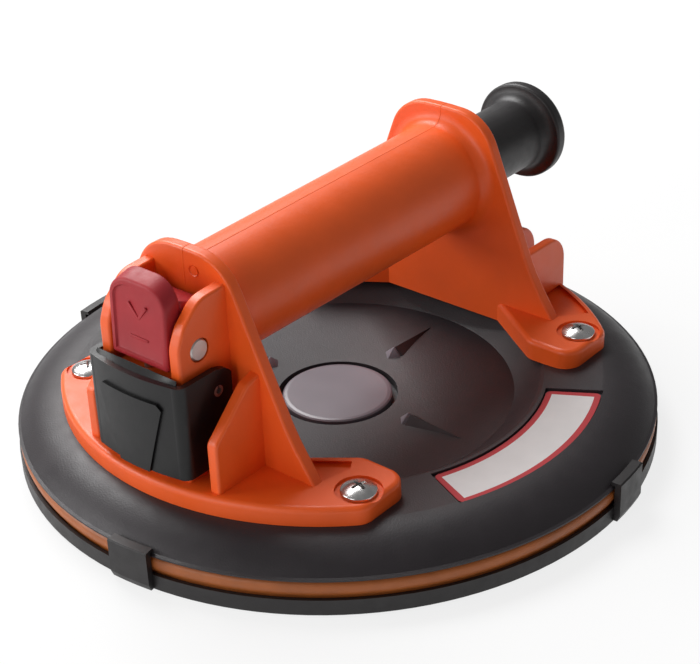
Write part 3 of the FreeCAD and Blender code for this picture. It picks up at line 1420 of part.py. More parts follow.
def make_suction_nipple():
    """Pipe from the valve block through foot, plate and rubber into the cup."""
    bottom = "(rim_height - pad_web - 1)"
    body = body_named("suction_nipple")
    tube = sketch_on(body, "tube", "XY_Plane", away=bottom)
    circle(tube, "0", "-nipple_place", "nipple_radius")
    pad(body, "tube_pad", tube, f"foot_top + nipple_entry - {bottom}")
    collar = sketch_on(body, "collar", "XY_Plane", away="foot_top - nipple_collar")
    circle(collar, "0", "-nipple_place", "nipple_collar_radius")
    pad(body, "collar_pad", collar, "nipple_collar")
    bore = sketch_on(body, "bore", "XY_Plane", away=bottom)
    circle(bore, "0", "-nipple_place", "nipple_bore")
    pocket(body, "bore_cut", bore, f"foot_top + nipple_entry - {bottom} + 1", reverse=True)
    return body


# --- release lever ----------------------------------------------------------------------------


def make_lever_axle():
    """Headed axle through both ears and the lever."""
    body = body_named("lever_axle")
    shank = sketch_on(body, "shank", "YZ_Plane", away="-ear_outer_half")
    circle(shank, "-axle_place", "axle_height", "axle_radius")
    pad(body, "shank_pad", shank, "2 * ear_outer_half")
    head = sketch_on(body, "head", "YZ_Plane", away="ear_outer_half - axle_head_depth")
    circle(head, "-axle_place", "axle_height", "axle_head_radius")
    pad(body, "head_pad", head, "axle_head_depth")
    soften(body, "head_edge", "axle_head_depth * 0.3",
           lambda edge: abs(edge.BoundBox.XMin - number("ear_outer_half")) < 0.01,
           kind="Chamfer")
    return body


def make_release_lever():
    """Thumb paddle on an arm that turns on the axle and presses the valve's stem."""
    body = body_named("release_lever")
    arm = sketch_on(body, "arm", "YZ_Plane")
    outline(arm, [
        ("-paddle_front", "lever_bottom"),
        ("-lever_back", "lever_bottom"),
        ("-lever_back", "lever_back_height"),
        ("-paddle_back", "arm_front_height"),
        ("-paddle_front", "arm_front_height"),
    ])
    pad(body, "arm_pad", arm, "2 * lever_half", middle=True)
    paddle = sketch_on(body, "paddle", "XZ_Plane", away="paddle_back")
    crest = "(paddle_top + paddle_rise)"
    outline(paddle, both_sides([
        ("lever_half", "lever_bottom"),
        ("lever_half", f"{crest} - paddle_round"),
        ("lever_half - paddle_round", crest, "paddle_round"),
    ]))
    pad(body, "paddle_pad", paddle, "paddle_front - paddle_back")
    # The front face leans back towards its top, and the top falls towards the front.
    lean = sketch_on(body, "lean", "YZ_Plane")
    top_front = "-paddle_front + paddle_lean"
    outline(lean, [
        ("-paddle_front - 1", "lever_bottom"),
        ("-paddle_front", "lever_bottom"),
        (top_front, "paddle_top"),
        ("-paddle_back", crest),
        ("-paddle_back", f"{crest} + 1"),
        ("-paddle_front - 1", f"{crest} + 1"),
    ])
    pocket(body, "lean_cut", lean, "4 * lever_half", middle=True)
    face = sketch_on(body, "face", "XZ_Plane", away="paddle_front - paddle_lean - paddle_recess")
    inner = "(lever_half - paddle_border)"
    outline(face, both_sides([
        (inner, "paddle_recess_foot"),
        (inner, "paddle_top - paddle_round"),
        ("lever_half - paddle_round", "paddle_top - paddle_border",
         "paddle_round - paddle_border"),
    ]))
    pocket(body, "face_cut", face, "paddle_lean + paddle_recess + 1", reverse=True)
    bore = sketch_on(body, "bore", "YZ_Plane")
    circle(bore, "-axle_place", "axle_height", "axle_radius + axle_gap")
    pocket(body, "bore_cut", bore, "4 * lever_half", middle=True)
    half, back, tip = number("lever_half"), number("paddle_back"), number("paddle_front")

    def outer(edge):
        box = edge.BoundBox
        if abs(box.XMax) < half - 0.01 and abs(box.XMin) < half - 0.01:
            return box.YMax < 0.01 - tip + number("paddle_lean") and box.ZMin > number(crest) - 3
        if box.YMax < -back - number("paddle_lean"):
            return True
        return (box.YMin > -back - 0.01 and box.YMax > -back + 0.01
                and box.ZMax > number("axle_height") + number("axle_radius") + 1
                or level_at(edge, number("lever_bottom")) and box.YMin > -back)

    soften(body, "edges", "lever_round", outer)
    return body


# --- guard --------------------------------------------------------------------------------------


def make_valve_guard():
    """Hinged front guard: a bowed front with two wings that reach back to the roll pins."""
    body = body_named("valve_guard")
    shell = sketch_on(body, "shell", "XY_Plane", away="guard_bottom")
    corner_start = "-guard_corner_front + guard_corner_round"
    outline(shell, [
        ("guard_half", "-guard_rear"),
        ("guard_half", corner_start),
        ("guard_corner_half", "-guard_corner_front", "-guard_corner_round"),
        ("-guard_corner_half", "-guard_corner_front", "-guard_bow"),
        ("-guard_half", corner_start, "-guard_corner_round"),
        ("-guard_half", "-guard_rear"),
    ])
    pad(body, "shell_pad", shell, "guard_top - guard_bottom")

    # The raised panel follows the bow of the front.
    panel = sketch_on(body, "panel", "XZ_Plane", away="guard_corner_front - guard_wall")
    outline(panel, both_sides([
        ("panel_foot_half", "guard_bottom"),
        ("panel_top_half", "panel_top - panel_corner"),
        ("panel_top_half - panel_corner", "panel_top"),
    ]))
    pad(body, "panel_pad", panel, "guard_wall + 4")
    trim = sketch_on(body, "trim", "XY_Plane", away="guard_bottom - 1")
    proud = "(guard_bow + panel_rise)"
    bow_centre = "(sqrt(guard_bow^2 - guard_corner_half^2) - guard_corner_front)"
    trim_edge = f"{bow_centre} - sqrt({proud}^2 - guard_corner_half^2)"
    outline(trim, [
        ("guard_corner_half", trim_edge, "guard_bow + panel_rise"),
        ("guard_corner_half", "-guard_corner_front - 8"),
        ("-guard_corner_half", "-guard_corner_front - 8"),
        ("-guard_corner_half", trim_edge),
    ])
    pocket(body, "trim_cut", trim, "guard_top - guard_bottom + 2", reverse=True)

    hollow = sketch_on(body, "hollow", "XY_Plane", away="guard_bottom - 1")
    inside = "guard_half - guard_wall"
    inside_round = "-(guard_corner_round - guard_wall)"
    outline(hollow, [
        (inside, "-guard_rear + 1"),
        (inside, corner_start),
        ("guard_corner_half", "-guard_corner_front + guard_wall", inside_round),
        ("-guard_corner_half", "-guard_corner_front + guard_wall", "-(guard_bow - guard_wall)"),
        (f"-({inside})", corner_start, inside_round),
        (f"-({inside})", "-guard_rear + 1"),
    ])
    pocket(body, "hollow_cut", hollow, "guard_top - guard_bottom + 2", reverse=True)

    # The wings' rear edges: rounded about the hinge, then falling forward to an upright foot.
    rear = sketch_on(body, "rear", "YZ_Plane")
    outline(rear, [
        ("-hinge_place", "hinge_height + lug_radius + 5"),
        ("-hinge_place", "hinge_height + lug_radius"),
        ("-hinge_place + lug_radius * sin(60deg)", "hinge_height + lug_radius * cos(60deg)",
         "-lug_radius"),
        ("-hinge_place + lug_radius * cos(40deg)", "hinge_height - lug_radius * sin(40deg)",
         "-lug_radius"),
        ("-wing_foot_rear", "wing_foot_height"),
        ("-wing_foot_rear", "guard_bottom - 1"),
        ("-guard_rear + 5", "guard_bottom - 1"),
        ("-guard_rear + 5", "hinge_height + lug_radius + 5"),
    ])
    pocket(body, "rear_cut", rear, "4 * guard_half", middle=True)
    pin_hole = sketch_on(body, "pin_hole", "YZ_Plane")
    circle(pin_hole, "-hinge_place", "hinge_height", "pin_radius + pin_gap")
    pocket(body, "pin_hole_cut", pin_hole, "4 * guard_half", middle=True)
    return body


def make_guard_pins():
    """Two slit roll pins from the guard's wings into the ears."""
    body = body_named("guard_pins", several=True)
    for side, away in (("right", "guard_half - pin_length"), ("left", "-guard_half")):
        ring = sketch_on(body, f"{side}_ring", "YZ_Plane", away=away)
        circle(ring, "-hinge_place", "hinge_height", "pin_radius")
        circle(ring, "-hinge_place", "hinge_height", "pin_bore")
        pad(body, f"{side}_pin", ring, "pin_length")
    slit = sketch_on(body, "slit", "YZ_Plane")
    outline(slit, [
        ("-hinge_place - pin_slit / 2", "hinge_height"),
        ("-hinge_place + pin_slit / 2", "hinge_height"),
        ("-hinge_place + pin_slit / 2", "hinge_height + 2 * pin_radius"),
        ("-hinge_place - pin_slit / 2", "hinge_height + 2 * pin_radius"),
    ])
    pocket(body, "slit_cut", slit, "4 * guard_half", middle=True)
    return body


# --- build, check and write -------------------------------------------------------------------

PIECES = [
    make_base_plate(), make_label_plate(), make_suction_pad(), make_pad_retainer(),
    make_centre_bolt(), make_centre_nut(), make_centre_cap(), make_handle_frame(),
    make_foot_screws(), make_foot_inserts(), make_pump_cylinder(), make_cylinder_plug(),
    make_plug_seal(), make_inlet_valve(), make_guide_bush(), make_rod_wiper(), make_air_pipe(),
    make_valve_block(), make_valve_plug(), make_suction_nipple(), make_lever_axle(),
    make_guard_pins(), make_pump_plunger(), make_piston(), make_piston_cup(),
    make_spring_plate(), make_piston_screw(), make_pump_spring(), make_release_lever(),
    make_release_stem(), make_stem_washer(), make_release_spring(), make_valve_guard(),
    make_protective_cover(), make_cover_clips(),
]
DOC.recompute()

for item in DOC.Objects:
    for state in ("Invalid", "Error"):
        if state in item.State:
            raise RuntimeError(f"{item.Name} is {state}")
for piece in PIECES:
    if piece.Shape.isNull() or not piece.Shape.isValid() or not piece.Shape.Solids:
        raise RuntimeError(f"{piece.Label} has no valid shape")

os.makedirs("parts", exist_ok=True)
for piece in PIECES:
    piece.Shape.exportStep(f"parts/{piece.Label}.step")
    box = piece.Shape.BoundBox
    print(f"{piece.Label:18} solids {len(piece.Shape.Solids):2} volume {piece.Shape.Volume:11.1f} "
          f"x {box.XMin:7.1f} {box.XMax:7.1f} y {box.YMin:7.1f} {box.YMax:7.1f} "
          f"z {box.ZMin:6.1f} {box.ZMax:6.1f}")
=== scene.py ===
"""Looks of a hand vacuum lifter for floor tiles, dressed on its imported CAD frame.

Metres, +Z up. The handle runs along Y: release lever at -Y, pump knob at +Y.
"""

import math

import bpy
from mathutils import Matrix, Vector


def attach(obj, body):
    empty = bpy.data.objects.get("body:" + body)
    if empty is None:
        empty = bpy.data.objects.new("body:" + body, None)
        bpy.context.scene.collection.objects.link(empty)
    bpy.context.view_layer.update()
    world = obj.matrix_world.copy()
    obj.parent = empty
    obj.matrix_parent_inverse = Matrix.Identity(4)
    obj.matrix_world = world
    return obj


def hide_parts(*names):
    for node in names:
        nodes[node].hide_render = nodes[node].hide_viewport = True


MM = 0.001

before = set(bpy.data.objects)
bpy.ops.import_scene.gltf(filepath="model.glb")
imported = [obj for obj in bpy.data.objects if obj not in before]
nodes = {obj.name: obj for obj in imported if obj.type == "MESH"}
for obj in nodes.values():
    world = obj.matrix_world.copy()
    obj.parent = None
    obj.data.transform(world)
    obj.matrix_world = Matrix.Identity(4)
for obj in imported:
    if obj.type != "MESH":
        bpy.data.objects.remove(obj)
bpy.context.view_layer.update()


# --- materials: shared helpers ---------------------------------------------------------------


def linear(colour):
    """An sRGB hex colour as the linear values that shaders take, fully opaque."""
    parts = [int(colour[i:i + 2], 16) / 255 for i in (1, 3, 5)]
    return [p / 12.92 if p <= 0.04045 else ((p + 0.055) / 1.055) ** 2.4 for p in parts] + [1.0]


def add(tree, kind, links=None, **settings):
    """Add a shader node, set its properties, then link or fill its inputs."""
    node = tree.nodes.new("ShaderNode" + kind)
    for name, value in settings.items():
        setattr(node, name, value)
    for socket, value in (links or {}).items():
        if isinstance(value, bpy.types.NodeSocket):
            tree.links.new(value, node.inputs[socket])
        else:
            node.inputs[socket].default_value = value
    return node


def material(name):
    """An empty material: its tree, its surface shader and the place on the object in metres."""
    made = bpy.data.materials.new(name)
    made.use_nodes = True
    tree = made.node_tree
    shader = tree.nodes["Principled BSDF"]
    place = add(tree, "TexCoord").outputs["Object"]
    return made, tree, shader, place


def mottle(tree, place, size, low, high, detail=3.0):
    """A slow drift between two values, with blotches of about this size."""
    noise = add(tree, "TexNoise", {"Vector": place, "Scale": 1 / size, "Detail": detail})
    return add(tree, "MapRange", {"Value": noise.outputs["Fac"], "From Min": 0.3, "From Max": 0.7,
                                  "To Min": low, "To Max": high}).outputs["Result"]


def shaded(tree, colour, factor):
    """The colour, lightened or darkened by a factor that changes over the surface."""
    return add(tree, "VectorMath", {0: linear(colour)[:3], "Scale": factor},
               operation="SCALE").outputs["Vector"]


def grain(tree, shader, place, size, depth, detail=2.0):
    """Small-scale relief with bumps of about this size and depth."""
    noise = add(tree, "TexNoise", {"Vector": place, "Scale": 1 / size, "Detail": detail})
    bump = add(tree, "Bump", {"Height": noise.outputs["Fac"], "Distance": depth,
                              "Strength": 1.0})
    tree.links.new(bump.outputs["Normal"], shader.inputs["Normal"])
    return bump


# --- materials of the lifter -------------------------------------------------------------------


def orange_nylon():
    """Glass-filled nylon from a polished mould: satin gloss, faint orange peel, parting lines."""
    made, tree, shader, place = material("orange_nylon")
    tone = mottle(tree, place, 14 * MM, 0.95, 1.04)
    tree.links.new(shaded(tree, "#F05D1B", tone), shader.inputs["Base Color"])
    tree.links.new(mottle(tree, place, 3 * MM, 0.36, 0.46), shader.inputs["Roughness"])
    peel = grain(tree, shader, place, 1.1 * MM, 0.035 * MM)
    # The mould halves meet in a thin raised line along the handle's crest.
    seam_from, seam_core, seam_half, seam_height = 75 * MM, 0.08 * MM, 0.32 * MM, 0.12 * MM
    across, _, upward = add(tree, "SeparateXYZ", {"Vector": place}).outputs
    off_middle = add(tree, "Math", {0: across}, operation="ABSOLUTE").outputs[0]
    above = add(tree, "Math", {0: upward, 1: seam_from}, operation="GREATER_THAN").outputs[0]
    seam = add(tree, "MapRange", {"Value": off_middle, "From Min": seam_core,
                                  "From Max": seam_half, "To Min": 1.0,
                                  "To Max": 0.0}).outputs["Result"]
    line = add(tree, "Math", {0: seam, 1: above}, operation="MULTIPLY").outputs[0]
    raised = add(tree, "Bump", {"Height": line, "Distance": seam_height, "Strength": 1.0,
                                "Normal": peel.outputs["Normal"]})
    tree.links.new(raised.outputs["Normal"], shader.inputs["Normal"])
    return made


def grained_abs():
    """Charcoal ABS from a spark-eroded mould: a fine matt grain that greys at low angles."""
    made, tree, shader, place = material("charcoal_abs_grained")
    tone = mottle(tree, place, 20 * MM, 0.9, 1.1)
    tree.links.new(shaded(tree, "#2B2629", tone), shader.inputs["Base Color"])
    tree.links.new(mottle(tree, place, 5 * MM, 0.42, 0.5), shader.inputs["Roughness"])
    shader.inputs["Specular IOR Level"].default_value = 0.42
    grain(tree, shader, place, 0.5 * MM, 0.06 * MM)
    return made


def abs_with_painted_sheen():
    """The same ABS from a smoother insert, its base grey lifted far above the plate's charcoal: a
    painted soft, blurred reflection on the cap and the dart heads.
    """
    made, tree, shader, place = material("charcoal_abs_painted_sheen")
    tone = mottle(tree, place, 16 * MM, 0.96, 1.04, 1.0)
    # Painted reflection: a light grey base in place of the plate's charcoal.
    tree.links.new(shaded(tree, "#6C646B", tone), shader.inputs["Base Color"])
    tree.links.new(mottle(tree, place, 18 * MM, 0.3, 0.36, 1.0), shader.inputs["Roughness"])
    grain(tree, shader, place, 2.0 * MM, 0.004 * MM, 0.0)
    return made


def natural_rubber():
    """Vulcanised natural rubber: brown-orange, dull, with a dusting of talc bloom."""
    made, tree, shader, place = material("natural_rubber")
    tone = mottle(tree, place, 9 * MM, 0.86, 1.1)
    tree.links.new(shaded(tree, "#A85C28", tone), shader.inputs["Base Color"])
    tree.links.new(mottle(tree, place, 2.5 * MM, 0.4, 0.52), shader.inputs["Roughness"])
    grain(tree, shader, place, 0.8 * MM, 0.03 * MM)
    return made


def black_polypropylene():
    """Soft black polypropylene of the storage cover: low sheen, waxy."""
    made, tree, shader, place = material("black_polypropylene")
    tone = mottle(tree, place, 12 * MM, 0.85, 1.15)
    tree.links.new(shaded(tree, "#1A1617", tone), shader.inputs["Base Color"])
    tree.links.new(mottle(tree, place, 4 * MM, 0.42, 0.54), shader.inputs["Roughness"])
    grain(tree, shader, place, 0.7 * MM, 0.03 * MM)
    return made


def guard_abs():
    """Near-black ABS of the guard: satin, so its rims catch thin highlights."""
    made, tree, shader, place = material("black_abs_satin")
    tone = mottle(tree, place, 8 * MM, 0.9, 1.1)
    tree.links.new(shaded(tree, "#0F0E0F", tone), shader.inputs["Base Color"])
    tree.links.new(mottle(tree, place, 3 * MM, 0.32, 0.4), shader.inputs["Roughness"])
    shader.inputs["Specular IOR Level"].default_value = 0.36
    grain(tree, shader, place, 0.5 * MM, 0.025 * MM)
    return made


def red_acetal():
    """Self-coloured acetal of the release lever: deep red, slightly waxy."""
    made, tree, shader, place = material("red_acetal")
    tone = mottle(tree, place, 7 * MM, 0.92, 1.06)
    tree.links.new(shaded(tree, "#A2262D", tone), shader.inputs["Base Color"])
    tree.links.new(mottle(tree, place, 2 * MM, 0.42, 0.52), shader.inputs["Roughness"])
    shader.inputs["Specular IOR Level"].default_value = 0.32
    grain(tree, shader, place, 0.8 * MM, 0.025 * MM)
    return made


def knob_nylon():
    """Black nylon of the pump knob and rod: matt, with fine drag marks along its length."""
    made, tree, shader, place = material("black_nylon")
    stretched = add(tree, "Mapping", {"Vector": place, "Scale": (1.0, 0.12, 1.0)})
    tone = mottle(tree, stretched.outputs["Vector"], 2 * MM, 0.88, 1.14)
    tree.links.new(shaded(tree, "#232021", tone), shader.inputs["Base Color"])
    tree.links.new(mottle(tree, place, 3 * MM, 0.4, 0.5), shader.inputs["Roughness"])
    grain(tree, shader, place, 0.6 * MM, 0.03 * MM)
    return made


def metal(name, colour, low, high, size, depth):
    """A plain metal finish: its colour, its range of roughness, and its relief."""
    made, tree, shader, place = material(name)
    tree.links.new(shaded(tree, colour, mottle(tree, place, 3 * MM, 0.9, 1.06)),
                   shader.inputs["Base Color"])
    shader.inputs["Metallic"].default_value = 1.0
    tree.links.new(mottle(tree, place, size, low, high), shader.inputs["Roughness"])
    grain(tree, shader, place, size, depth)
    return made


def soft_black(name, colour, roughness, size):
    """Small rubber and felt parts inside: dull, with a little relief."""
    made, tree, shader, place = material(name)
    tree.links.new(shaded(tree, colour, mottle(tree, place, 3 * MM, 0.85, 1.15)),
                   shader.inputs["Base Color"])
    shader.inputs["Roughness"].default_value = roughness
    grain(tree, shader, place, size, 0.03 * MM)
    return made


def vinyl(name, colour):
    """Printed vinyl sheet under a matt film."""
    made, tree, shader, place = material(name)
    tree.links.new(shaded(tree, colour, mottle(tree, place, 6 * MM, 0.97, 1.02)),
                   shader.inputs["Base Color"])
    tree.links.new(mottle(tree, place, 3 * MM, 0.5, 0.6), shader.inputs["Roughness"])
    shader.inputs["Specular IOR Level"].default_value = 0.3
    grain(tree, shader, place, 2 * MM, 0.01 * MM)
    return made


def dress(finish, *names):
    """Give CAD nodes a finish."""
    for name in names:
        mesh = nodes[name].data
        mesh.materials.clear()
        mesh.materials.append(finish)


# The finishes, and the nodes that wear them. Those inside the handle are seen only in parts.
ORANGE = orange_nylon()
PLATE = grained_abs()
PLATE_PAINTED_SHEEN = abs_with_painted_sheen()
RUBBER = natural_rubber()
COVER = black_polypropylene()
ZINC = metal("zinc_plated_steel", "#D2D0CF", 0.2, 0.3, 3 * MM, 0.004 * MM)
STAINLESS = metal("stainless_steel", "#C9C7C4", 0.36, 0.46, 2 * MM, 0.004 * MM)
BRASS = metal("turned_brass", "#C9A35A", 0.22, 0.36, 1.0 * MM, 0.01 * MM)
ALUMINIUM = metal("drawn_aluminium", "#C4C6C8", 0.26, 0.4, 1.2 * MM, 0.01 * MM)
SPRING = metal("spring_steel", "#8E8C8B", 0.25, 0.4, 0.8 * MM, 0.01 * MM)
SEAL = soft_black("nitrile_rubber", "#1C1A1A", 0.6, 0.5 * MM)
LEVER = red_acetal()
GUARD = guard_abs()
FELT = soft_black("grey_felt", "#6A6763", 0.95, 0.4 * MM)

dress(ORANGE, "handle_frame", "valve_block")
dress(PLATE, "base_plate")
# The cap's light grey is painted reflection.
dress(PLATE_PAINTED_SHEEN, "centre_cap")
dress(COVER, "protective_cover", "cover_clips")
dress(GUARD, "valve_guard")
dress(knob_nylon(), "pump_plunger", "guide_bush", "piston", "cylinder_plug")
dress(ZINC, "pad_retainer", "centre_bolt", "centre_nut", "piston_screw")
dress(STAINLESS, "guard_pins", "lever_axle", "release_stem", "spring_plate")
dress(BRASS, "foot_inserts", "suction_nipple", "valve_plug", "air_pipe")
dress(ALUMINIUM, "pump_cylinder")
dress(SPRING, "pump_spring", "release_spring")
dress(SEAL, "plug_seal", "inlet_valve", "piston_cup", "stem_washer")
dress(FELT, "rod_wiper")


# --- new pieces: shared helpers ----------------------------------------------------------------


def start_fresh():
    """Leave nothing selected, so that the next operator acts only on its own piece."""
    if bpy.context.object and bpy.context.object.mode == "EDIT":
        bpy.ops.object.mode_set(mode="OBJECT")
    bpy.ops.object.select_all(action="DESELECT")


def edit(mode):
    """Enter edit mode, choosing by vertices, edges or faces."""
    if bpy.context.object.mode == "EDIT":
        bpy.ops.object.mode_set(mode="OBJECT")
    bpy.context.tool_settings.mesh_select_mode = [mode == kind
                                                  for kind in ("VERT", "EDGE", "FACE")]
    bpy.ops.object.mode_set(mode="EDIT")


def choose(piece, mode, test):
    """Select in edit mode the vertices, edges or faces that pass the test."""
    edit("VERT")
    bpy.ops.mesh.select_all(action="DESELECT")
    bpy.ops.object.mode_set(mode="OBJECT")
    mesh = piece.data
    chosen = {"VERT": mesh.vertices, "EDGE": mesh.edges, "FACE": mesh.polygons}[mode]
    for item in chosen:
        item.select = bool(test(item))
        if item.select and mode != "VERT":
            for index in item.vertices:
                mesh.vertices[index].select = True
    edit(mode)


def finished(name, smooth=35):
    """Leave edit mode, fix the piece's place in its mesh, smooth it and name it."""
    if bpy.context.object.mode == "EDIT":
        bpy.ops.object.mode_set(mode="OBJECT")
    piece = bpy.context.object
    piece.name = piece.data.name = name
    bpy.ops.object.transform_apply(location=True, rotation=True, scale=True)
    bpy.ops.object.shade_smooth_by_angle(angle=math.radians(smooth))
    return piece


def apply(piece, kind, **settings):
    """Add a modifier with these settings and apply it."""
    changed = piece.modifiers.new(kind.lower(), kind)
    for name, value in settings.items():
        setattr(changed, name, value)
    bpy.ops.object.modifier_apply(modifier=changed.name)


def lathe(name, rings, segments=192, hollow=True):
    """A turned piece: one circle drawn out through (radius, height) rings and closed."""
    start_fresh()
    radius, height = rings[0]
    bpy.ops.mesh.primitive_circle_add(vertices=segments, radius=radius, location=(0, 0, height))
    bpy.ops.object.transform_apply(location=True)
    edit("EDGE")
    bpy.ops.mesh.select_all(action="SELECT")
    for after, level in rings[1:]:
        bpy.ops.mesh.extrude_region_move(
            TRANSFORM_OT_translate={"value": (0, 0, level - height)})
        factor = after / radius
        bpy.ops.transform.resize(value=(factor, factor, 1), center_override=(0, 0, 0))
        radius, height = after, level
    if hollow:
        bpy.ops.mesh.select_all(action="DESELECT")
        bpy.ops.mesh.select_non_manifold()
        bpy.ops.mesh.bridge_edge_loops()
    bpy.ops.mesh.select_all(action="SELECT")
    bpy.ops.mesh.remove_doubles(threshold=(0.001 if hollow else 0.04) * MM)
    bpy.ops.mesh.normals_make_consistent(inside=False)
    return finished(name)


def ridge(name, width, height, length, spot, tilt=0.0, spin=0.0):
    """A small rounded bar, its edges bevelled, laid at a place."""
    start_fresh()
    bpy.ops.mesh.primitive_cube_add(size=1.0, location=(0, 0, 0))
    bpy.ops.transform.resize(value=(width, height, length))
    bpy.ops.object.transform_apply(scale=True)
    piece = bpy.context.object
    apply(piece, "BEVEL", width=min(width, height) * 0.42, segments=3)
    bpy.ops.transform.rotate(value=-spin, orient_axis="Y", center_override=(0, 0, 0))
    bpy.ops.transform.rotate(value=-tilt, orient_axis="X", center_override=(0, 0, 0))
    bpy.ops.transform.translate(value=spot)
    return finished(name)


def joined(pieces, name):
    """Several solids as one piece."""
    start_fresh()
    for piece in pieces:
        piece.select_set(True)
    bpy.context.view_layer.objects.active = pieces[0]
    bpy.ops.object.join()
    return finished(name)


def cut_or_join(piece, other, operation):
    """Join a second solid to the piece, or cut it out, and delete it."""
    start_fresh()
    piece.select_set(True)
    bpy.context.view_layer.objects.active = piece
    apply(piece, "BOOLEAN", object=other, operation=operation, solver="EXACT")
    bpy.data.objects.remove(other)


def millimetres(rings):
    """Rings given in millimetres, in metres."""
    return [(radius * MM, height * MM) for radius, height in rings]


def block(low, high):
    """A block between two corners in millimetres, its place in its mesh."""
    start_fresh()
    middle = [(a + b) / 2 * MM for a, b in zip(low, high)]
    bpy.ops.mesh.primitive_cube_add(size=1.0, location=middle)
    bpy.ops.transform.resize(value=[(b - a) * MM for a, b in zip(low, high)])
    bpy.ops.object.transform_apply(location=True, scale=True)
    return bpy.context.object


# --- new pieces ----------------------------------------------------------------------------------


def make_rubber():
    """Suction rubber: bulged outer lip, sealing face with two ridges, and the skin above it."""
    underside = [(2.6, 5.05), (2.6, 3.15), (19.3, 3.15), (22.0, 4.2), (59.4, 6.0), (67.8, 8.6),
                 (88.4, 8.6), (89.1, 8.0)]
    sealing_face = [(90.7, 2.0), (91.2, 1.3), (93.9, 1.25), (94.3, 2.0), (95.3, 2.0),
                    (95.7, 1.25), (98.7, 1.25), (99.5, 1.6)]
    lip = [(99.7, 2.4), (99.7, 5.7), (100.2, 6.3), (100.7, 7.3), (101.0, 8.5), (100.95, 9.6),
           (100.5, 10.4), (99.6, 10.9), (98.8, 11.3)]
    top = [(67.0, 11.3), (60.1, 9.0), (58.6, 7.9), (22.0, 6.1), (20.5, 5.05)]
    nipple_radius, nipple_spot = 2.45 * MM, (0, -70.5 * MM, 8 * MM)
    rubber = lathe("rubber_disc", millimetres(underside + sealing_face + lip + top))
    start_fresh()
    bpy.ops.mesh.primitive_cylinder_add(vertices=32, radius=nipple_radius, depth=20 * MM,
                                        location=nipple_spot)
    bpy.ops.object.transform_apply(location=True)
    cut_or_join(rubber, bpy.context.object, "DIFFERENCE")
    return finished("rubber_disc")


def make_label():
    """Sticker bent round the disc: white field, red border, rounded corners."""
    inner, outer, span, border = 67.3, 84.2, math.radians(50.8), 1.9
    corner, thickness = 1.85 * MM, 0.28 * MM
    # The plate's land, which the sticker lies on, rises outward between these two rings.
    inner_ring, outer_ring, land_low, land_rise = 65.8, 84.0, 17.26, 1.1
    slope = land_rise / (outer_ring - inner_ring)
    stations = [inner, inner + border, (inner + outer) / 2, outer - border, outer]
    start_fresh()
    bpy.ops.mesh.primitive_grid_add(x_subdivisions=4, y_subdivisions=48, size=1.0)
    piece = bpy.context.object
    mesh = piece.data
    columns = sorted({round(v.co.x, 4) for v in mesh.vertices})
    rows = sorted({round(v.co.y, 4) for v in mesh.vertices})
    edge = border / ((inner + outer) / 2)
    steps = [-span / 2, -span / 2 + edge] + [
        -span / 2 + edge + (span - 2 * edge) * k / (len(rows) - 3)
        for k in range(1, len(rows) - 3)] + [span / 2 - edge, span / 2]
    for vertex in mesh.vertices:
        radius = stations[columns.index(round(vertex.co.x, 4))]
        turn = steps[rows.index(round(vertex.co.y, 4))]
        vertex.co = Vector((radius * math.cos(turn), radius * math.sin(turn),
                            land_low + slope * (radius - inner_ring))) * MM

    def spot_of(vertex):
        return (math.hypot(vertex.co.x, vertex.co.y) / MM,
                abs(math.atan2(vertex.co.y, vertex.co.x)))

    choose(piece, "VERT", lambda vertex: spot_of(vertex)[1] > span / 2 - 0.001 and (
        spot_of(vertex)[0] < inner + 0.1 or spot_of(vertex)[0] > outer - 0.1))
    bpy.ops.mesh.bevel(offset=corner, segments=6, affect="VERTICES")
    bpy.ops.object.mode_set(mode="OBJECT")
    mesh.materials.append(vinyl("white_vinyl", "#D6D2D1"))
    mesh.materials.append(vinyl("red_printed_vinyl", "#B4343A"))
    for polygon in mesh.polygons:
        spot = polygon.center
        radius = math.hypot(spot.x, spot.y) / MM
        turn = abs(math.atan2(spot.y, spot.x))
        polygon.material_index = int(radius < inner + border or radius > outer - border
                                     or turn > span / 2 - edge)
    apply(piece, "SOLIDIFY", thickness=thickness, offset=1.0)
    return finished("label_sticker")


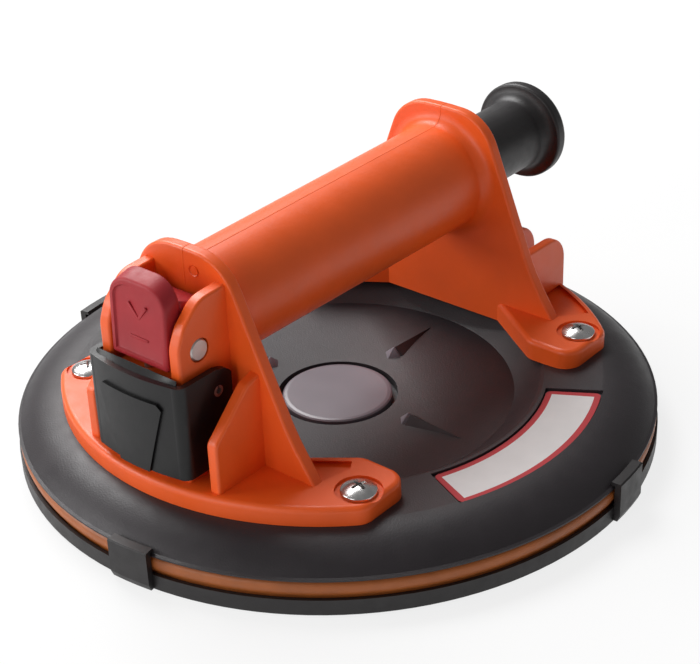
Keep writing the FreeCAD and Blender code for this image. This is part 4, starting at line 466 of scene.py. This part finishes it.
def make_lever():
    """Thumb paddle: an arched block with a sunk arched face, on an arm bored for its axle."""
    half, foot, crown, front, back = 10.9, 59.0, 85.0, -81.2, -74.2
    arch, edge, lean, fall, fall_height = 7.8 * MM, 0.9 * MM, 1.2 * MM, 2.0 * MM, 10.0
    arm_half, arm_front, arm_back, arm_top, arm_low_top = 10.85, -74.6, -63.3, 78.5, 74.0
    axle_radius, axle_spot = 2.15 * MM, (0, -73.1 * MM, 64.4 * MM)
    paddle = block((-half, front, foot), (half, back, crown))
    corners = paddle.data.vertices
    choose(paddle, "EDGE",
           lambda joint: all(corners[i].co.z > (crown - 1) * MM for i in joint.vertices)
           and abs(corners[joint.vertices[0]].co.x - corners[joint.vertices[1]].co.x) < MM)
    bpy.ops.mesh.bevel(offset=arch, segments=12, profile=0.5)
    bpy.ops.object.mode_set(mode="OBJECT")
    # The front leans back to its top, and the crown falls towards the front.
    for vertex in paddle.data.vertices:
        spot = vertex.co / MM
        if spot.y < front + 1.2:
            vertex.co.y += lean * (spot.z - foot) / (crown - foot)
            vertex.co.z -= fall * max(0.0, (spot.z - crown + fall_height) / fall_height)
    apply(paddle, "BEVEL", width=edge, segments=4, limit_method="ANGLE",
          angle_limit=math.radians(50))
    face = min(paddle.data.polygons, key=lambda polygon: polygon.normal.y * polygon.area).index
    choose(paddle, "FACE", lambda polygon: polygon.index == face)
    bpy.ops.mesh.inset(thickness=0.7 * MM)
    for inward, deeper in ((0.1, 0.12), (0.2, 0.36), (0.14, 0.1)):
        bpy.ops.mesh.inset(thickness=inward * MM)
        bpy.ops.transform.translate(value=(0, deeper * MM, 0))
    bpy.ops.object.mode_set(mode="OBJECT")
    arm = block((-arm_half, arm_front, foot), (arm_half, arm_back, arm_top))
    for vertex in arm.data.vertices:
        if vertex.co.y > -70 * MM and vertex.co.z > 70 * MM:
            vertex.co.z = arm_low_top * MM
    apply(arm, "BEVEL", width=0.8 * MM, segments=3)
    cut_or_join(paddle, arm, "UNION")
    start_fresh()
    bpy.ops.mesh.primitive_cylinder_add(vertices=48, radius=axle_radius, depth=30 * MM,
                                        rotation=(0, math.radians(90), 0), location=axle_spot)
    bpy.ops.object.transform_apply(location=True, rotation=True)
    cut_or_join(paddle, bpy.context.object, "DIFFERENCE")
    bpy.context.view_layer.objects.active = paddle
    paddle.select_set(True)
    return finished("thumb_paddle")


def make_guard_ledge():
    """The guard's broad top rim: a ledge inside its bowed front, kept clear of the lever."""
    half, front, back, low, high = 15.6, -84.6, -82.8, 56.4, 57.6
    moved_back, least_depth, bow, lift = 0.15, 0.6, 1.45, 1.5 * MM
    ledge = block((-half, front, low), (half, back, high))
    edit("EDGE")
    bpy.ops.mesh.select_all(action="SELECT")
    bpy.ops.mesh.subdivide(number_cuts=11)
    bpy.ops.object.mode_set(mode="OBJECT")
    for vertex in ledge.data.vertices:
        spot = vertex.co / MM
        forward = (back - spot.y) / (back - front)
        depth = least_depth + bow * (1 - (spot.x / half) ** 2)
        vertex.co.y = (back + moved_back - forward * depth) * MM
        vertex.co.z += lift * (1 - forward) * (spot.z > 57)
    apply(ledge, "BEVEL", width=0.25 * MM, segments=3, limit_method="ANGLE",
          angle_limit=math.radians(50))
    return finished("guard_ledge")


def make_lever_mark():
    """A plain arrowhead in low relief on the paddle's face, and the thumb stop under it."""
    relief, lean, splay = 0.5 * MM, math.radians(2.6), math.radians(38)
    made = []
    for side in (-1, 1):
        made.append(ridge("arrowhead", 0.9 * MM, relief, 5.6 * MM,
                          (side * 1.75 * MM, -79.98 * MM, 74.2 * MM), lean, side * splay))
    made.append(ridge("thumb_stop", 7.0 * MM, relief, 0.8 * MM,
                      (0, -80.36 * MM, 66.2 * MM), lean))
    return joined(made, "lever_mark")


def make_ejector_mark():
    """The round witness of an ejector pin on the front web, above the lever."""
    start_fresh()
    bpy.ops.mesh.primitive_cylinder_add(vertices=40, radius=1.7 * MM, depth=0.5 * MM,
                                        rotation=(math.radians(90), 0, 0),
                                        location=(4.0 * MM, -61.7 * MM, 80.3 * MM))
    piece = bpy.context.object
    choose(piece, "FACE", lambda polygon: len(polygon.vertices) > 4 and polygon.normal.z > 0.9)
    bpy.ops.mesh.inset(thickness=0.35 * MM)
    bpy.ops.transform.translate(value=(0, 0.28 * MM, 0))
    bpy.ops.mesh.inset(thickness=0.12 * MM)
    return finished("ejector_mark")


def make_screws():
    """Four pan-head screws: domed head, rounded rim, tapered cross recess, shank."""
    circle, seat, height, length, dome = 77.8 * MM, 24.1, 2.7, 11.0, 9.6
    arm_half, slot_half, recess = 2.9, 0.55, 1.7
    top, axis = seat + height, 0.01
    shank = [(axis, seat - length), (2.0, seat - length), (2.5, seat - length + 0.5), (2.5, seat)]
    rim = [(5.1, seat), (5.3, seat + 0.2), (5.3, seat + 0.9), (5.2, seat + 1.15)]
    crown = [(r, top - dome + math.sqrt(dome ** 2 - r ** 2))
             for r in (5.0, 4.4, 3.6, 2.7, 1.8, 0.9, axis)]
    made = []
    for number in range(4):
        turn = math.radians(45 + 90 * number)
        screw = lathe("foot_screw", millimetres(shank + rim + crown), 64, hollow=False)
        for along in (0, 1):
            arm = block((-arm_half, -slot_half, top - recess), (arm_half, slot_half, top + 0.4))
            for vertex in arm.data.vertices:
                if vertex.co.z < top * MM - MM:
                    vertex.co.x *= 0.55
                    vertex.co.y *= 0.7
            if along:
                arm.data.transform(Matrix.Rotation(math.radians(90), 4, "Z"))
            cut_or_join(screw, arm, "DIFFERENCE")
        # Each screw stopped at its own turn when it was driven home.
        driven = turn + math.radians(20 + 35 * number)
        spot = Vector((circle * math.cos(turn), circle * math.sin(turn), 0))
        screw.data.transform(Matrix.Translation(spot) @ Matrix.Rotation(driven, 4, "Z"))
        made.append(screw)
    return joined(made, "foot_screw_set")


def make_dart_heads():
    """Low arrowheads at the inner ends of the darts, which catch the light."""
    base = ((25.2, 0, 9.0), (28.6, -3.3, 9.6), (28.6, 3.3, 9.6), (32.5, 0, 9.7))
    peak_radius, peak_height, half_depth = 29.0, 12.3, 1.0
    made = []
    for number in range(4):
        start_fresh()
        bpy.ops.mesh.primitive_cone_add(vertices=4, radius1=4 * MM, radius2=0.3 * MM,
                                        depth=2 * half_depth * MM, location=(0, 0, 0))
        head = bpy.context.object
        corners = sorted((v for v in head.data.vertices if v.co.z < 0),
                         key=lambda v: (round(v.co.x, 5), v.co.y))
        for vertex, spot in zip(corners, base):
            vertex.co = Vector(spot) * MM
        for vertex in head.data.vertices:
            if abs(vertex.co.z / MM - half_depth) < 0.1:
                vertex.co = Vector((peak_radius + vertex.co.x / MM, vertex.co.y / MM,
                                    peak_height)) * MM
        apply(head, "BEVEL", width=0.25 * MM, segments=2)
        head.data.transform(Matrix.Rotation(math.radians(90 * number), 4, "Z"))
        made.append(head)
    return joined(made, "dart_heads")


def keep(piece, body, finish=None, stands_for=None):
    """Give a new piece its finish and body, and hide the node that it stands for."""
    if finish:
        piece.data.materials.clear()
        piece.data.materials.append(finish)
    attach(piece, body)
    if stands_for:
        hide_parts(stands_for)


keep(make_rubber(), "lifter", RUBBER, "suction_pad")
keep(make_label(), "lifter", stands_for="label_plate")
keep(make_lever(), "lever", LEVER, "release_lever")
keep(make_lever_mark(), "lever", LEVER)
keep(make_guard_ledge(), "guard", GUARD)
keep(make_ejector_mark(), "lifter", ORANGE)
keep(make_screws(), "lifter", ZINC, "foot_screws")
# The dart heads wear the same lightened finish: a painted highlight on their facets.
keep(make_dart_heads(), "lifter", PLATE_PAINTED_SHEEN)


# --- floor, light and camera -----------------------------------------------------------------


def seen_directly(tree):
    """1 where the camera, a reflection or a see-through surface looks at this, else 0."""
    rays = add(tree, "LightPath").outputs
    glossy = add(tree, "Math", {0: rays["Is Camera Ray"], 1: rays["Is Glossy Ray"]},
                 operation="ADD")
    return add(tree, "Math", {0: glossy.outputs[0], 1: rays["Is Transmission Ray"]},
               operation="ADD", use_clamp=True).outputs[0]


def lay_floor():
    """A pale floor that keeps the lifter's shadow."""
    bpy.ops.mesh.primitive_plane_add(size=8.0, location=(0, 0, 0))
    floor = bpy.context.object
    floor.name = "floor"
    made, tree, shader, _ = material("pale_floor")
    shader.inputs["Base Color"].default_value = linear("#F0F0F0")
    shader.inputs["Roughness"].default_value = 0.9
    shader.inputs["Specular IOR Level"].default_value = 0.0
    white = add(tree, "Emission", {"Color": linear("#FFFFFF"), "Strength": 1.0})
    share = add(tree, "Math", {0: seen_directly(tree), 1: 0.8}, operation="MULTIPLY")
    mixed = add(tree, "MixShader", {0: share.outputs[0], 1: shader.outputs[0],
                                    2: white.outputs[0]})
    tree.links.new(mixed.outputs[0], tree.nodes["Material Output"].inputs["Surface"])
    floor.data.materials.append(made)


def light_world():
    """An even studio sky, white where it is looked at."""
    world = bpy.data.worlds.new("studio")
    bpy.context.scene.world = world
    world.use_nodes = True
    tree = world.node_tree
    sky = tree.nodes["Background"]
    sky.inputs["Color"].default_value = linear("#FFFFFF")
    sky.inputs["Strength"].default_value = 0.22
    white = add(tree, "Background", {"Color": linear("#FFFFFF"), "Strength": 1.0})
    camera_ray = add(tree, "LightPath").outputs["Is Camera Ray"]
    mixed = add(tree, "MixShader", {0: camera_ray, 1: sky.outputs[0],
                                    2: white.outputs[0]})
    tree.links.new(mixed.outputs[0], tree.nodes["World Output"].inputs["Surface"])


def softbox(name, place, target, size, power):
    """A square area lamp aimed at a point."""
    lamp = bpy.data.lights.new(name, "AREA")
    lamp.shape = "SQUARE"
    lamp.size = size
    lamp.energy = power
    holder = bpy.data.objects.new(name, lamp)
    bpy.context.scene.collection.objects.link(holder)
    holder.location = place
    holder.rotation_euler = (Vector(target) - Vector(place)).to_track_quat("-Z", "Y").to_euler()


def set_camera():
    """A long-lens view from the front right, a little rolled."""
    azimuth, elevation, roll = (math.radians(a) for a in (40.99, 29.47, -2.34))
    distance, aside, above = 544.05 * MM, 3.67 * MM, 27.32 * MM
    back = Vector((math.sin(azimuth) * math.cos(elevation),
                   -math.cos(azimuth) * math.cos(elevation), math.sin(elevation)))
    level = Vector((math.cos(azimuth), math.sin(azimuth), 0))
    upward = back.cross(level)
    right = level * math.cos(roll) + upward * math.sin(roll)
    top = upward * math.cos(roll) - level * math.sin(roll)
    lens = bpy.data.cameras.new("camera")
    lens.lens = 86.4
    lens.sensor_width = 36.0
    holder = bpy.data.objects.new("camera", lens)
    bpy.context.scene.collection.objects.link(holder)
    turned = Matrix((right, top, back)).transposed().to_4x4()
    turned.translation = right * aside + top * above + back * distance
    holder.matrix_world = turned
    bpy.context.scene.camera = holder


lay_floor()
light_world()
softbox("key_above_behind", (-0.85, 0.3, 1.0), (0, 0, 0.03), 0.85, 21)
softbox("fill_front_left", (-0.95, -0.85, 0.5), (0, 0, 0.05), 0.6, 8)
softbox("fill_front", (0.0, -1.35, 0.5), (0, 0, 0.05), 0.6, 4)
set_camera()
bpy.context.scene.view_settings.view_transform = "Standard"
